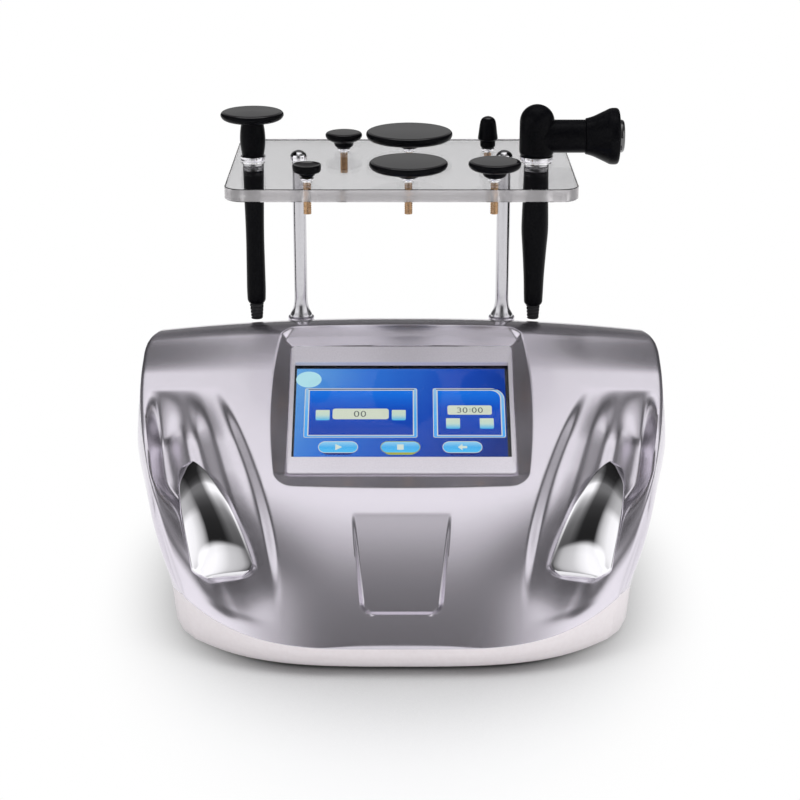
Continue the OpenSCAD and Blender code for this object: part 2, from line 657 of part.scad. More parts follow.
module panel_screws() {
  color(steel) for (s = [-1, 1]) for (v = [-1, 1])
    on_panel(s * (panel_w / 2 - 4.5), v * (panel_h / 2 - 4.5)) translate([0, 0, panel_t])
      round_screw(5.6, 2.5, 4.6);
}
module fan_housing() {
  color(black) on_panel(fan_x) translate([0, 0, -fan_depth - 0.1]) {
    difference() {
      boxed(fan_side, fan_side, fan_depth, 0);
      translate([0, 0, -1]) cylinder(r = fan_hole_r, h = fan_depth + 2);
    }
    difference() {
      union() {
        cylinder(d = 20, h = 2);
        for (a = [0:120:359]) rotate([0, 0, a]) translate([0, -1.5, 0]) cube([fan_hole_r + 0.5, 3, 2]);
      }
      translate([0, 0, -1]) cylinder(d = 3.1, h = 4);
    }
  }
}
module fan_rotor() {
  color([0.15, 0.15, 0.16]) on_panel(fan_x) translate([0, 0, -fan_depth - 0.1]) {
    translate([0, 0, 2.4]) cylinder(d = 20, h = fan_depth - 4.4);
    cylinder(d = 3, h = 3);
    for (k = [0:fan_blades - 1]) rotate([0, 0, k * 360 / fan_blades]) translate([9, 0, 4])
      rotate([35, 0, 0]) translate([0, -0.6, -0.5]) cube([fan_hole_r - 10.5, 1.2, 8]);
  }
}
module fan_guard() {
  color(steel) on_panel(fan_x) translate([0, 0, panel_t + 1.9]) {
    for (r = [6, 12, 18, 23]) rotate_extrude() translate([r, 0]) circle(0.9);
    translate([0, 0, -0.9]) for (a = [45, 135]) rotate([0, 0, a])
      translate([-28, -0.9, 0]) cube([56, 1.8, 1]);
    for (s = [-1, 1]) for (v = [-1, 1]) translate([s * (fan_side / 2 - 5), v * (fan_side / 2 - 5), -1.85]) {
      difference() {
        cylinder(d = 7, h = 1.9);
        translate([0, 0, -1]) cylinder(d = 3.4, h = 4);
      }
    }
  }
}
inlet_depth = 18;
module mains_inlet() {
  color(black) on_panel(inlet_x) difference() {
    union() {
      translate([8, 0, panel_t]) rounded_plate(52, 28, 3, 3);
      boxed(inlet_size[0], inlet_size[1], inlet_depth + panel_t, -inlet_depth);
      translate([drawer_x, 0, 0]) boxed(9, 20, inlet_depth + panel_t, -inlet_depth);
    }
    boxed(24, 16.4, 15 + panel_t + 4, -15);
    translate([drawer_x, 0, 0]) boxed(6.4, 17.4, 14 + panel_t + 4, -14);
  }
  color(steel) on_panel(inlet_x) for (q = [[-7, -1.5], [7, -1.5], [0, 3]])
    translate([q[0], q[1], 0]) boxed(2, 4, 10, -15);
}
module fuse_drawer() {
  color([0.1, 0.1, 0.1]) on_panel(inlet_x + drawer_x) {
    boxed(6, 17, 12 + panel_t + 3, -12);
    translate([0, 0, panel_t + 3.1]) boxed(7.6, 19, 1.4, 0);
  }
}
pivot_depth = 4;
rocker_tilt = 7;
module switch_housing() {
  color(black) on_panel(switch_x) difference() {
    union() {
      translate([0, 0, panel_t]) rounded_plate(23, 17, 2, 1.5);
      boxed(switch_size[0], switch_size[1], 14 + panel_t, -14);
    }
    boxed(15.4, 9.4, 12 + panel_t + 4, -10);
    translate([0, 0, -pivot_depth + panel_t]) rotate([90, 0, 0])
      cylinder(d = 2.06, h = 12, center = true);
  }
}
module rocker_switch() {
  color([0.75, 0.1, 0.08]) on_panel(switch_x) translate([0, 0, -pivot_depth + panel_t])
    rotate([0, -rocker_tilt, 0]) {
    rotate([90, 0, 0]) linear_extrude(9, center = true)
      polygon([[-6.8, 4], [-6.6, 7.6], [-1, 6], [1, 6], [6.6, 7.6], [6.8, 4], [3, 0], [2, -2], [-2, -2], [-3, 0]]);
    rotate([90, 0, 0]) cylinder(d = 2, h = 11.4, center = true);
  }
}
module socket(x) {
  color(steel) on_panel(x) difference() {
    union() {
      translate([0, 0, panel_t]) cylinder(d = 19, h = 2);
      translate([0, 0, -8]) cylinder(d = socket_d, h = panel_t + 16);
    }
    translate([0, 0, panel_t - 1]) cylinder(d = socket_bore_d, h = 12);
    for (a = [0:72:359]) rotate([0, 0, a]) translate([contact_ring_r, 0, panel_t - 1 - contact_depth])
      cylinder(d = contact_d, h = contact_depth + 1);
  }
}
module left_socket() {
  socket(socket_x[0]);
}
module right_socket() {
  socket(socket_x[1]);
}

// ---- electronics on the base floor ----
module board(at, size) {
  translate([at[0], at[1], board_z + 0.05]) boxed(size[0], size[1], board_t, 0);
}
board_top = board_z + 0.05 + board_t;
module main_board() {
  color([0.05, 0.35, 0.15]) board(main_board_at, main_board_size);
  color(black) for (q = [[-22, 10, 18], [14, 14, 12], [-10, -20, 10], [24, -16, 14]])
    translate([q[0], main_board_at[1] + q[1], board_top - 0.01]) boxed(q[2], q[2], 2, 0);
}
module buzzer() {
  color(black) translate([34, main_board_at[1] + 26, board_top + 0.05]) difference() {
    cylinder(d = 12, h = 9);
    translate([0, 0, 7]) cylinder(d = 2, h = 3);
  }
}
module rf_board() {
  color([0.05, 0.35, 0.15]) board(rf_board_at, rf_board_size);
  color(black) for (k = [0:3]) translate([rf_board_at[0] - 24 + 16 * k, rf_board_at[1] + 46, board_top - 0.01])
    cylinder(d = 9, h = 16);
}
module rf_coil() {
  color([0.75, 0.4, 0.15]) translate([rf_board_at[0], rf_board_at[1] - 34, board_top + 8.05])
    rotate_extrude() translate([13, 0]) circle(8);
}
fins = 9;
module heat_sink() {
  color([0.6, 0.6, 0.62]) translate([rf_board_at[0] - 28, rf_board_at[1] - 12, board_top + 0.05]) {
    cube([56, 44, 4]);
    for (k = [0:fins - 1]) translate([k * 54.4 / (fins - 1), 0, 3.9]) cube([1.6, 44, 22]);
  }
}
module power_supply() {
  color([0.6, 0.6, 0.6]) translate([supply_at[0], supply_at[1], board_z + 0.05]) difference() {
    boxed(supply_size[0], supply_size[1], supply_h, 0);
    for (k = [-5:5]) translate([0, k * 8, supply_h - 1]) boxed(supply_size[0] - 18, 3, 2, 0);
    for (k = [-5:5]) translate([-supply_size[0] / 2, k * 8, 8]) boxed(2, 3, supply_h - 16, 0);
  }
}

// ---- tray and posts ----
tray_mid_y = post_y - tray_forward;
tray_bottom = tray_top - tray_t;
left_hole_d = left_grip_d + 2 * grip_gap;
right_hole_d = right_grip_d + 2 * grip_gap;
// [x, y] of the spare electrodes
cup_at = [-68, front_row_y];
wide_at = [5, front_row_y];
medium_at = [67, front_row_y];
small_at = [-44, rear_row_y];
large_at = [6, rear_row_y];
bullet_at = [66, rear_row_y];
module tray() {
  color([0.9, 0.9, 0.95, 0.5]) difference() {
    translate([0, tray_mid_y, tray_bottom]) rounded_plate(tray_w, tray_d, tray_t, tray_corner_r);
    for (q = [cup_at, wide_at, medium_at, small_at, large_at, bullet_at])
      translate([q[0], q[1], tray_bottom - 1]) cylinder(d = stem_d + 2 * stem_gap, h = tray_t + 2);
    for (s = [-1, 1]) translate([s * post_x, post_y, tray_bottom - 1])
      cylinder(d = post_hole_d, h = tray_t + 2);
    translate([-left_x, post_y, tray_bottom - 1]) cylinder(d = left_hole_d, h = tray_t + 2);
    translate([right_x, post_y, tray_bottom - 1]) cylinder(d = right_hole_d, h = tray_t + 2);
  }
}
post_top_pin = 4.5;
thread_below = 26;
module post(s) {
  color(steel) translate([s * post_x, post_y, 0]) rotate_extrude() polygon([
    [0, seat_z - thread_below], [post_thread_d / 2, seat_z - thread_below],
    [post_thread_d / 2, seat_z + 0.05], [post_foot_d / 2, seat_z + 0.05],
    [post_foot_d / 2, seat_z + 1.6], [post_d / 2 + 1.6, seat_z + 5], [post_d / 2 + 0.5, seat_z + 9],
    [post_d / 2, seat_z + 14], [post_d / 2, tray_bottom - 0.05], [post_thread_d / 2, tray_bottom - 0.05],
    [post_thread_d / 2, tray_top + post_top_pin], [0, tray_top + post_top_pin]]);
}
module post_left() {
  post(-1);
}
module post_right() {
  post(1);
}
cap_d = 12.5;
cap_h = 7.5;
module post_caps() {
  color(steel) for (s = [-1, 1]) translate([s * post_x, post_y, tray_top + 0.05]) difference() {
    rotate_extrude() intersection() {
      square([cap_d / 2, cap_h]);
      translate([0, cap_h - 6.8]) circle(6.8);
    }
    translate([0, 0, -1]) cylinder(d = post_thread_d + 0.1, h = post_top_pin + 1.3);
  }
}
module post_nuts() {
  color(steel) for (s = [-1, 1]) translate([s * post_x, post_y, seat_z - 19]) difference() {
    cylinder(d = 15, h = 6.4, $fn = 6);
    translate([0, 0, -1]) cylinder(d = post_thread_d + 0.1, h = 9);
  }
}

// ---- handles ----
ring_h = 3.4;
relief_l = 12.6;
relief_bottom = grip_bottom - relief_l;
module on_left() {
  translate([-left_x, post_y, 0]) children();
}
module on_right() {
  translate([right_x, post_y, 0]) children();
}
module ribbed_relief(top, bottom, r_top, r_bottom) {
  ribs = 5;
  pitch = (top - bottom) / ribs;
  rotate_extrude() polygon(concat([[0, bottom], [r_bottom - 0.8, bottom]],
    [for (k = [0:ribs - 1]) each let (z = bottom + k * pitch, r = mix(r_bottom, r_top, (k + 0.5) / ribs))
      [[r - 0.9, z + 0.1 * pitch], [r, z + 0.3 * pitch], [r, z + 0.65 * pitch], [r - 0.9, z + 0.85 * pitch]]],
    [[r_top - 0.8, top], [0, top]]));
}
grip_r = left_grip_d / 2;
module left_grip() {
  color(black) on_left() difference() {
    rotate_extrude() polygon([[0, grip_bottom], [grip_r - 2, grip_bottom], [grip_r - 0.9, grip_bottom + 2],
      [grip_r - 0.6, grip_bottom + 10], [grip_r - 0.8, grip_bottom + 30], [grip_r - 1, grip_bottom + 52],
      [grip_r - 0.6, grip_bottom + 74], [grip_r, grip_bottom + 95], [grip_r, tray_top - 0.05],
      [0, tray_top - 0.05]]);
    translate([0, 0, tray_top - 14]) cylinder(d = stem_d + 0.1, h = 15);
  }
}
module left_ring() {
  color(steel) on_left() translate([0, 0, tray_top]) difference() {
    cylinder(d = left_grip_d + 3.2, h = ring_h);
    translate([0, 0, -1]) cylinder(d = stem_d + 0.1, h = ring_h + 2);
  }
}
module left_strain_relief() {
  color(black) on_left() ribbed_relief(grip_bottom - 0.05, relief_bottom, 5.4, 4.4);
}
barrel_h = 25.5;
left_head_z = tray_top + ring_h + 0.1;
module left_disc() {
  r = left_disc_d / 2;
  z = left_head_z;
  color(black) on_left() difference() {
    rotate_extrude() polygon([[0, z], [8.1, z], [9.1, z + 6], [9.6, z + 12], [9.2, z + 19], [8.1, z + barrel_h],
      [r - 4, z + barrel_h + 1.2], [r - 1.2, z + barrel_h + 2.6], [r, z + barrel_h + 4.6],
      [r, z + barrel_h + 5.8], [r - 0.8, z + barrel_h + 7.2], [r - 2.4, z + barrel_h + 7.9],
      [0, z + barrel_h + 8.2]]);
    translate([0, 0, z - 1]) cylinder(d = stem_d + 0.1, h = 11);
  }
}
module left_disc_stem() {
  color(brass) on_left() translate([0, 0, tray_top - 12]) cylinder(d = stem_d, h = ring_h + 21);
}
right_r = right_grip_d / 2;
module right_grip() {
  color(black) on_right() rotate_extrude() polygon([[0, grip_bottom - 2], [5.5, grip_bottom - 2],
    [7, grip_bottom], [7.3, grip_bottom + 6], [7.7, grip_bottom + 20], [8.8, grip_bottom + 38],
    [right_r, grip_bottom + 57], [right_r - 0.2, grip_bottom + 68], [right_r - 0.9, grip_bottom + 90],
    [right_r - 1.1, tray_top - 1], [7, tray_top - 0.05], [7, tray_top + ring_h + 0.6],
    [0, tray_top + ring_h + 0.6]]);
}
module right_ring() {
  color(steel) on_right() translate([0, 0, tray_top]) difference() {
    cylinder(d = elbow_d - 1, h = ring_h);
    translate([0, 0, -1]) cylinder(d = 14.1, h = ring_h + 2);
  }
}
module right_strain_relief() {
  color(black) on_right() ribbed_relief(grip_bottom - 2.05, relief_bottom, 5.2, 4.4);
}
elbow_z = tray_top + ring_h + 0.05;
axis_z = tray_top + elbow_rise;
neck_d = elbow_d - 1.4;
neck_end = 36;
module right_elbow() {
  r = elbow_d / 2;
  color(black) on_right() difference() {
    union() {
      rotate_extrude() union() {
        polygon([[0, elbow_z], [r - 1.5, elbow_z], [r, elbow_z + 2.5], [r, elbow_z + 25.6], [0, elbow_z + 25.6]]);
        intersection() {
          translate([0, elbow_z + 25.6]) circle(r);
          translate([0, elbow_z + 25.5]) square([r, r]);
        }
      }
      translate([0, 0, axis_z]) rotate([0, 90, 0]) cylinder(d = neck_d, h = neck_end);
    }
    translate([0, 0, elbow_z - 1]) cylinder(d = 14.1, h = 2);
  }
}
module right_cone() {
  r = cone_d / 2;
  color(black) on_right() translate([neck_end + 0.05, 0, axis_z]) rotate([0, 90, 0])
    rotate_extrude() polygon([[0, 0], [neck_d / 2 + 1, 0], [neck_d / 2 + 1.4, 2], [neck_d / 2 + 2.6, 6],
      [neck_d / 2 + 5, 11], [r - 1.6, 15.5], [r - 0.3, 18], [r, 20], [r, 23], [r - 0.6, 24.2],
      [r - 1.6, 24.8], [0, 24.8]]);
}
module right_end_cap() {
  color(black) on_right() translate([neck_end + 24.9, 0, axis_z]) rotate([0, 90, 0])
    rotate_extrude() polygon([[0, 0], [12.3, 0], [12.3, 2.4], [11.4, 3.8], [0, 4.2]]);
}

// ---- spare electrodes: black head on a brass stem ----
head_z = tray_top + stem_ring_h + 0.1;
module stem(at) {
  color(brass) translate([at[0], at[1], 0]) {
    translate([0, 0, tray_bottom - stem_below]) cylinder(d = stem_d, h = tray_t + stem_below + stem_ring_h + 5);
    translate([0, 0, tray_top]) cylinder(d = stem_ring_d, h = stem_ring_h);
  }
}
module head(at, outline) {
  color(black) translate([at[0], at[1], head_z]) difference() {
    rotate_extrude() polygon(outline);
    translate([0, 0, -1]) cylinder(d = stem_d + 0.1, h = 6.2);
  }
}
// Outline of a disc head of diameter d and height h, from its collar up
function disc_outline(d, h) = let (r = d / 2, n = min(9, r * 0.55))
  [[0, 0], [n - 2.2, 0], [n - 0.6, 1.4], [n, h * 0.36], [r - 3.2, h * 0.46], [r - 0.9, h * 0.58],
   [r, h * 0.72], [r, h * 0.82], [r - 0.7, h * 0.93], [r - 2.2, h * 0.99], [0, h]];
disc_h = 12;
module cup_head() {
  r = cup_d / 2;
  head(cup_at, [[0, 0], [3.4, 0], [5.6, 1.4], [6.4, 3.4], [r - 1, 3.8], [r - 0.3, 4.6], [r, 6.5],
    [r, 9.6], [r - 0.8, 9.6], [r - 2.4, 8.4], [r - 6, 7.4], [0, 7]]);
}
module wide_disc_head() {
  head(wide_at, disc_outline(wide_disc_d, disc_h));
}
module medium_disc_head() {
  head(medium_at, disc_outline(medium_disc_d, disc_h));
}
module small_disc_head() {
  head(small_at, disc_outline(small_disc_d, disc_h));
}
module large_disc_head() {
  head(large_at, disc_outline(large_disc_d, disc_h + 1));
}
module bullet_head() {
  r = bullet_d / 2;
  head(bullet_at, [[0, 0], [4.6, 0], [5.8, 1.2], [5.8, 5], [6.2, 6], [r, 6.6], [r, 7.6], [r - 0.6, 12],
    [r - 1.3, bullet_h - 6.2], [r - 2, bullet_h - 3.2], [r - 3.4, bullet_h - 1.4], [r - 5.4, bullet_h - 0.4],
    [0, bullet_h]]);
}

top_shell();
base_shell();
inset_left();
inset_right();
screen_frame();
touch_glass();
lcd_module();
lcd_bracket();
feet();
case_screws();
rear_panel();
panel_screws();
main_board();
rf_board();
power_supply();
rf_coil();
heat_sink();
buzzer();
fan_housing();
fan_rotor();
fan_guard();
mains_inlet();
fuse_drawer();
switch_housing();
rocker_switch();
left_socket();
right_socket();
tray();
post_left();
post_right();
post_caps();
post_nuts();
left_grip();
left_ring();
left_strain_relief();
left_disc();
left_disc_stem();
right_grip();
right_ring();
right_strain_relief();
right_elbow();
right_cone();
right_end_cap();
cup_head();
stem(cup_at);  // cup_stem
wide_disc_head();
stem(wide_at);  // wide_disc_stem
medium_disc_head();
stem(medium_at);  // medium_disc_stem
small_disc_head();
stem(small_at);  // small_disc_stem
large_disc_head();
stem(large_at);  // large_disc_stem
bullet_head();
stem(bullet_at);  // bullet_stem
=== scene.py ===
"""Looks for a desktop facial toning device: silver housing, touch screen, clear tray with electrodes.

Sizes are in millimetres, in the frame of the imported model, and every mesh is made in metres.
"""
import math
import bpy
import numpy as np
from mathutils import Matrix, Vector
from mathutils.geometry import tessellate_polygon


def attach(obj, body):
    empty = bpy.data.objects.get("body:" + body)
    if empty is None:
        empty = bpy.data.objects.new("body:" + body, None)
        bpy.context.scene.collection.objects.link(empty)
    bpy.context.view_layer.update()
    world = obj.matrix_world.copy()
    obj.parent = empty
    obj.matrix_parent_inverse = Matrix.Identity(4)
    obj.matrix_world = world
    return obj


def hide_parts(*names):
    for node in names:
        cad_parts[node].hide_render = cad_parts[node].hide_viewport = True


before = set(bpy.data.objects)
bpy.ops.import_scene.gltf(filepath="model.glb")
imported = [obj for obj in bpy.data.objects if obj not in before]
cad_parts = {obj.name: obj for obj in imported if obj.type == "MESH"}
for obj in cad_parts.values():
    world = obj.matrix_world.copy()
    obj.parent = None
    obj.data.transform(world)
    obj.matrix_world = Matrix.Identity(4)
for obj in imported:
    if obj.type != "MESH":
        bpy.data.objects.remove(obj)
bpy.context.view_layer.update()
MM = 0.001

# ---- the housing's surface, from its centre line; lengths p run up the front and over the top ----
FRONT_DEPTH, PARTING_FRONT_Z, PARTING_SIDE_Z = 161.5, 17.4, 42
FRONT_SLOPE, FACE_SLOPE, CREST_TURN, TOP_END = 62.6, 32, 5, 31
BULGE_R, FLAT_LEN, CREST_R, TOP_R, BACK_R = 223, 142.8, 27, 100, 55
FACE_HALF_WIDTH, EDGE_R, SHELL_WALL, SHELL_GAP, BASE_INSET = 193.2, 5, 2.8, 0.4, 0.9
DISH_DEPTH, FRAME_W, FRAME_L, WINDOW_W, WINDOW_L = 6.6, 163, 117, 158.4, 88.2
FLOOR_HALF_W, FLOOR_HALF_L = FRAME_W / 2 + 0.5, FRAME_L / 2 + 0.5
CUT_HALF_W, CUT_HALF_L = WINDOW_W / 2 + 1.3, WINDOW_L / 2 + 1.3
COLLAR_H, GLASS_T = 4, 1.1
TRAY_T, TRAY_W, TRAY_D, TRAY_CORNER_R, TRAY_FORWARD = 9.3, 252, 168, 14, 10
POST_X, POST_TO_BACK, SEAT_RISE, POST_L = 77, 38, 2.5, 122
SEAT_R, SEAT_H, POST_HOLE_R = 10, 12, 4.2
FOOT_H = 1.5


def ease(a, b, t):
    k = np.clip((t - a) / (b - a), 0, 1)
    return k * k * (3 - 2 * k)


def mix(a, b, t):
    return a + (b - a) * t


def sin_d(a):
    return np.sin(np.radians(a))


def cos_d(a):
    return np.cos(np.radians(a))


def arc_len(r, angle):
    return r * math.radians(angle)


P_FLAT = arc_len(BULGE_R, FRONT_SLOPE - FACE_SLOPE)
P_CREST = P_FLAT + FLAT_LEN
P_TOP = P_CREST + arc_len(CREST_R, FACE_SLOPE + CREST_TURN)
P_ROLL = P_TOP + arc_len(TOP_R, TOP_END - CREST_TURN)
P_END = P_ROLL + arc_len(BACK_R, 90 - TOP_END)


def on_arc(y, z, a0, r, s):
    """Point and slope on an arc that starts at (y, z) with slope a0 and bends down."""
    a = a0 - np.degrees(s / r)
    return y + r * (sin_d(a0) - sin_d(a)), z + r * (cos_d(a) - cos_d(a0)), a


FLAT_START = on_arc(-FRONT_DEPTH, PARTING_FRONT_Z, FRONT_SLOPE, BULGE_R, P_FLAT)
FLAT_END = (FLAT_START[0] + FLAT_LEN * cos_d(FACE_SLOPE), FLAT_START[1] + FLAT_LEN * sin_d(FACE_SLOPE))
CREST_END = on_arc(*FLAT_END, FACE_SLOPE, CREST_R, P_TOP - P_CREST)
ROLL_START = on_arc(*CREST_END[:2], -CREST_TURN, TOP_R, P_ROLL - P_TOP)
BACK_Y = on_arc(*ROLL_START[:2], -TOP_END, BACK_R, P_END - P_ROLL)[0]


def profile(p):
    """y, z and slope of the centre line at length p."""
    p = np.asarray(p, float)
    flat = p - P_FLAT
    pieces = [
        on_arc(-FRONT_DEPTH, PARTING_FRONT_Z, FRONT_SLOPE, BULGE_R, p),
        (FLAT_START[0] + flat * cos_d(FACE_SLOPE), FLAT_START[1] + flat * sin_d(FACE_SLOPE), FACE_SLOPE + 0 * p),
        on_arc(*FLAT_END, FACE_SLOPE, CREST_R, p - P_CREST),
        on_arc(*CREST_END[:2], -CREST_TURN, TOP_R, p - P_TOP),
        on_arc(*ROLL_START[:2], -TOP_END, BACK_R, np.minimum(p, P_END) - P_ROLL)]
    cases = [p < P_FLAT, p < P_CREST, p < P_TOP, p < P_ROLL]
    return [np.select(cases, [q[k] for q in pieces[:4]], pieces[4][k]) for k in range(3)]


POST_Y = BACK_Y - POST_TO_BACK
# Slope of the top under the posts, as an angle of its arc
SEAT_TURN = math.asin(-sin_d(CREST_TURN) - (POST_Y - CREST_END[0]) / TOP_R)
SEAT_Z = CREST_END[1] + TOP_R * (math.cos(SEAT_TURN) - cos_d(CREST_TURN)) + SEAT_RISE
TRAY_TOP = SEAT_Z + POST_L
FRONT_ROW_Y, REAR_ROW_Y = POST_Y - 63, POST_Y + 36
GRIP_BOTTOM = TRAY_TOP - 111
RELIEF_BOTTOM = GRIP_BOTTOM - 12.6

CROWN, FACE_CROWN, CROWN_X = 8.5, 3.5, 180
CORNER_X, CORNER_FALL, CORNER_P, BACK_CORNER_R, TOP_NARROW = 155, 30, 46, 22, 6.5
TAPER, TAPER_FROM, TAPER_POWER = 59.3, 219.4, 2.52


def narrowed(p):
    return TOP_NARROW * ease(232, 285, p)


def half_width(p):
    k = np.clip((profile(p)[0] - BACK_Y) / BACK_CORNER_R + 1, 0, 1)
    taper = TAPER * (np.maximum(0, TAPER_FROM - p) / 200) ** TAPER_POWER
    return FACE_HALF_WIDTH - taper - narrowed(p) - BACK_CORNER_R * (1 - np.sqrt(1 - k * k))


def fall(x, p):
    most = mix(FACE_CROWN, CROWN, ease(225, 268, p))
    top = most * (np.abs(x) / CROWN_X) ** 2.2 * (1 - ease(P_ROLL, P_END, p))
    low = CORNER_FALL * (np.abs(x) / CORNER_X) ** 3.05
    return mix(low, top, ease(25, 140, p))


def edge_climb(x, p):
    """How much further up the centre line the front edge lies at the sides."""
    return CORNER_P * (np.abs(x) / CORNER_X) ** 3.87 * np.maximum(0, 1 - p / P_END) ** 1.5


def plain(x, p, d=0):
    """The housing's surface without its recesses, sunk by depth d."""
    y, z, a = profile(p)
    k = fall(x, p) + d
    return np.stack([x + 0 * y, y + k * sin_d(a), z - k * cos_d(a)], -1)


# ---- recesses, as depth below the plain surface ----
DISH_MID, DISH_HALF_L, DISH_HALF_W, DISH_BARREL, DISH_CORNER_R = P_FLAT + 75.5, 76, 96.4, 7.4, 13
DISH_WALL_W, DISH_WALL_L, DISH_BOW, DISH_TOP_EXTRA = 14.9, 17.5, 3.4, 3.4
TOP_WALL_DEPTH, TOP_WALL_LEAN = 4, 0.23
U_LOW, U_LEN, U_HALF_LOW, U_HALF_TOP, U_DEPTH, U_CORNER = 24, 74, 28, 35.5, 6, 9
SCOOP_CREASE, SCOOP_VALLEY, SCOOP_RIDGE, SCOOP_PIT, SCOOP_BED = 4.2, 4.5, 1.8, 5.5, 4.5


def rounded_box(x, y, hx, hy, r):
    """Distance outside (+) or inside (-) of a rounded rectangle."""
    qx, qy = np.abs(x) - hx + r, np.abs(y) - hy + r
    return np.minimum(np.maximum(qx, qy), 0) + np.hypot(np.maximum(qx, 0), np.maximum(qy, 0)) - r


def soft_start(t, e):
    """0..1 ramp whose first stretch e is rounded."""
    return np.where(t < e, t * t / (2 * e), t - e / 2) / (1 - e / 2)


def top_wall(p):
    """Depth of the dish's upper wall, which runs straight on where the crest bends away."""
    past = p - P_CREST
    return TOP_WALL_DEPTH - TOP_WALL_LEAN * past - CREST_R * (1 - np.cos(np.maximum(0, past) / CREST_R))


def dish(x, p):
    v = p - DISH_MID
    hw = DISH_HALF_W - DISH_BARREL * (v / DISH_HALF_L) ** 2
    hl = DISH_HALF_L - DISH_BOW * (x / DISH_HALF_W) ** 2 + np.where(v > 0, DISH_TOP_EXTRA, 0)
    rim = rounded_box(x, v, hw, hl, DISH_CORNER_R)
    floor = np.maximum(0, rounded_box(x, v, FLOOR_HALF_W, FLOOR_HALF_L, 0.5))
    up, out = (v - FLOOR_HALF_L) / DISH_WALL_L, (np.abs(x) - FLOOR_HALF_W) / DISH_WALL_W
    k = ease(0, 0.03, up) * ease(-0.04, 0.06, up - out)
    t = np.clip(-rim / np.maximum(floor - rim, 1e-6), 0, 1)
    wall = (DISH_DEPTH - fall(x, p)) * soft_start(t, 0.12)
    top = np.maximum(0, np.minimum(top_wall(p), -0.9 * rim))
    return np.where(rim >= 0, 0, mix(wall, top, k))


def u_recess(x, p):
    k = np.clip((p - U_LOW) / U_LEN, 0, 1)
    side = mix(U_HALF_LOW, U_HALF_TOP, k) - np.abs(x)
    inside = U_CORNER - np.hypot(np.maximum(0, U_CORNER - side), np.maximum(0, U_CORNER - (p - U_LOW)))
    return np.where(inside <= 0, 0, U_DEPTH * (1 - k) ** 0.8 * ease(0, 3, inside))


def crease_x(p):
    """Inner crease of a side scoop."""
    return 81 + 49 * np.clip((p - 28) / 178, 0, 1) ** 1.75


def steady(a, b, p):
    """0..1 between a and b with a nearly even slope and soft ends."""
    return 0.4 * ease(a, b, p) + 0.6 * np.clip((p - a) / (b - a), 0, 1)


def scoop(x, p):
    """Behind the crease a rounded shoulder, a valley, the ridge under the chrome, and a pit by the edge."""
    inner, outer = crease_x(p), half_width(p) - EDGE_R - 1
    t = (np.abs(x) - inner) / (outer - inner)
    row = p - edge_climb(x, p)
    fade = 1 - np.clip((150 - row) / 145, 0, 1) ** 2
    upper, broad = ease(100, 140, p), ease(60, 110, p)
    wall = 1 - ease(mix(0.58, 0.82, upper), 1, t)
    crease = SCOOP_CREASE * ease(0, 0.12, t) * ease(25, 90, p) * (1 - ease(165, 212, p))
    valley = SCOOP_VALLEY * ease(0.28, 0.5, t) * ease(40, 110, p) * (1 - steady(177, 209, p))
    ridge = SCOOP_RIDGE * np.exp(-((t - 0.58) / 0.1) ** 2) * ease(70, 130, p) * (1 - ease(165, 205, p))
    slope = mix(ease(0.58, 0.8, t), np.clip((t - 0.57) / 0.36, 0, 1), 0.5 * upper)
    pit = SCOOP_PIT * slope * fade * (1 - steady(175, 209, p))
    bed = SCOOP_BED * ease(mix(0.02, 0.16, broad), mix(0.5, 0.66, broad), t) * fade * (1 - steady(172, 209, p))
    return np.where((t <= 0) | (t >= 1), 0, (crease + valley - ridge + pit + bed) * ease(6, 16, row) * wall)


def recess(x, p):
    return dish(x, p) + u_recess(x, p) + scoop(x, p)


# ---- mesh helpers ----
def add_object(name, points_mm, faces, finish, body="housing", node=None, smooth_angle=40):
    """A mesh piece from points in millimetres; sharp where faces meet at more than smooth_angle."""
    obj = new_object(name, np.asarray(points_mm, float) * MM, faces, MAT.get(finish, finish))
    obj.data.validate()
    obj.data.shade_smooth()
    if smooth_angle:
        obj.data.set_sharp_from_angle(angle=math.radians(smooth_angle))
    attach(obj, body)
    if node:
        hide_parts(node)
    return obj


def new_object(name, points, faces, material):
    mesh = bpy.data.meshes.new(name)
    mesh.from_pydata(np.asarray(points, float).tolist(), [], faces)
    mesh.materials.append(material)
    return in_scene(bpy.data.objects.new(name, mesh))


def in_scene(obj):
    bpy.context.scene.collection.objects.link(obj)
    return obj


def spaced(*stops):
    """Values from (start, step) to (start, step) and so on, up to the last plain number."""
    out = []
    for (a, step), b in zip(stops[:-1], [s[0] if isinstance(s, tuple) else s for s in stops[1:]]):
        n = max(1, round((b - a) / step))
        out += [a + (b - a) * k / n for k in range(n)]
    return np.array(out + [stops[-1]])


def full_turn(steps):
    return np.linspace(0, 2 * math.pi, steps, endpoint=False)


def strip_faces(ring_a, ring_b):
    """Quads between two closed rings of point numbers."""
    n = len(ring_a)
    return [(ring_a[k], ring_a[(k + 1) % n], ring_b[(k + 1) % n], ring_b[k]) for k in range(n)]


def band_faces(rings, n, first=0):
    """Quads between rings of n points that are numbered one ring after the other."""
    faces = []
    for start in range(first, first + (rings - 1) * n, n):
        faces += strip_faces(range(start, start + n), range(start + n, start + 2 * n))
    return faces


def turned_over(faces):
    return [tuple(f[::-1]) for f in faces]


def grid_faces(rows, columns):
    ids = np.arange(rows * columns).reshape(rows, columns)
    return np.stack([ids[:-1, :-1], ids[:-1, 1:], ids[1:, 1:], ids[1:, :-1]], -1).reshape(-1, 4).tolist()


def border_of(rows, columns):
    """Point numbers round the border of a grid, first along its first row."""
    ids = np.arange(rows * columns).reshape(rows, columns)
    return np.concatenate([ids[0, :-1], ids[:-1, -1], ids[-1, :0:-1], ids[:0:-1, 0]]).tolist()


def around_loop(points):
    """Direction of a closed loop at each of its points."""
    return np.roll(points, -1, 0) - np.roll(points, 1, 0)


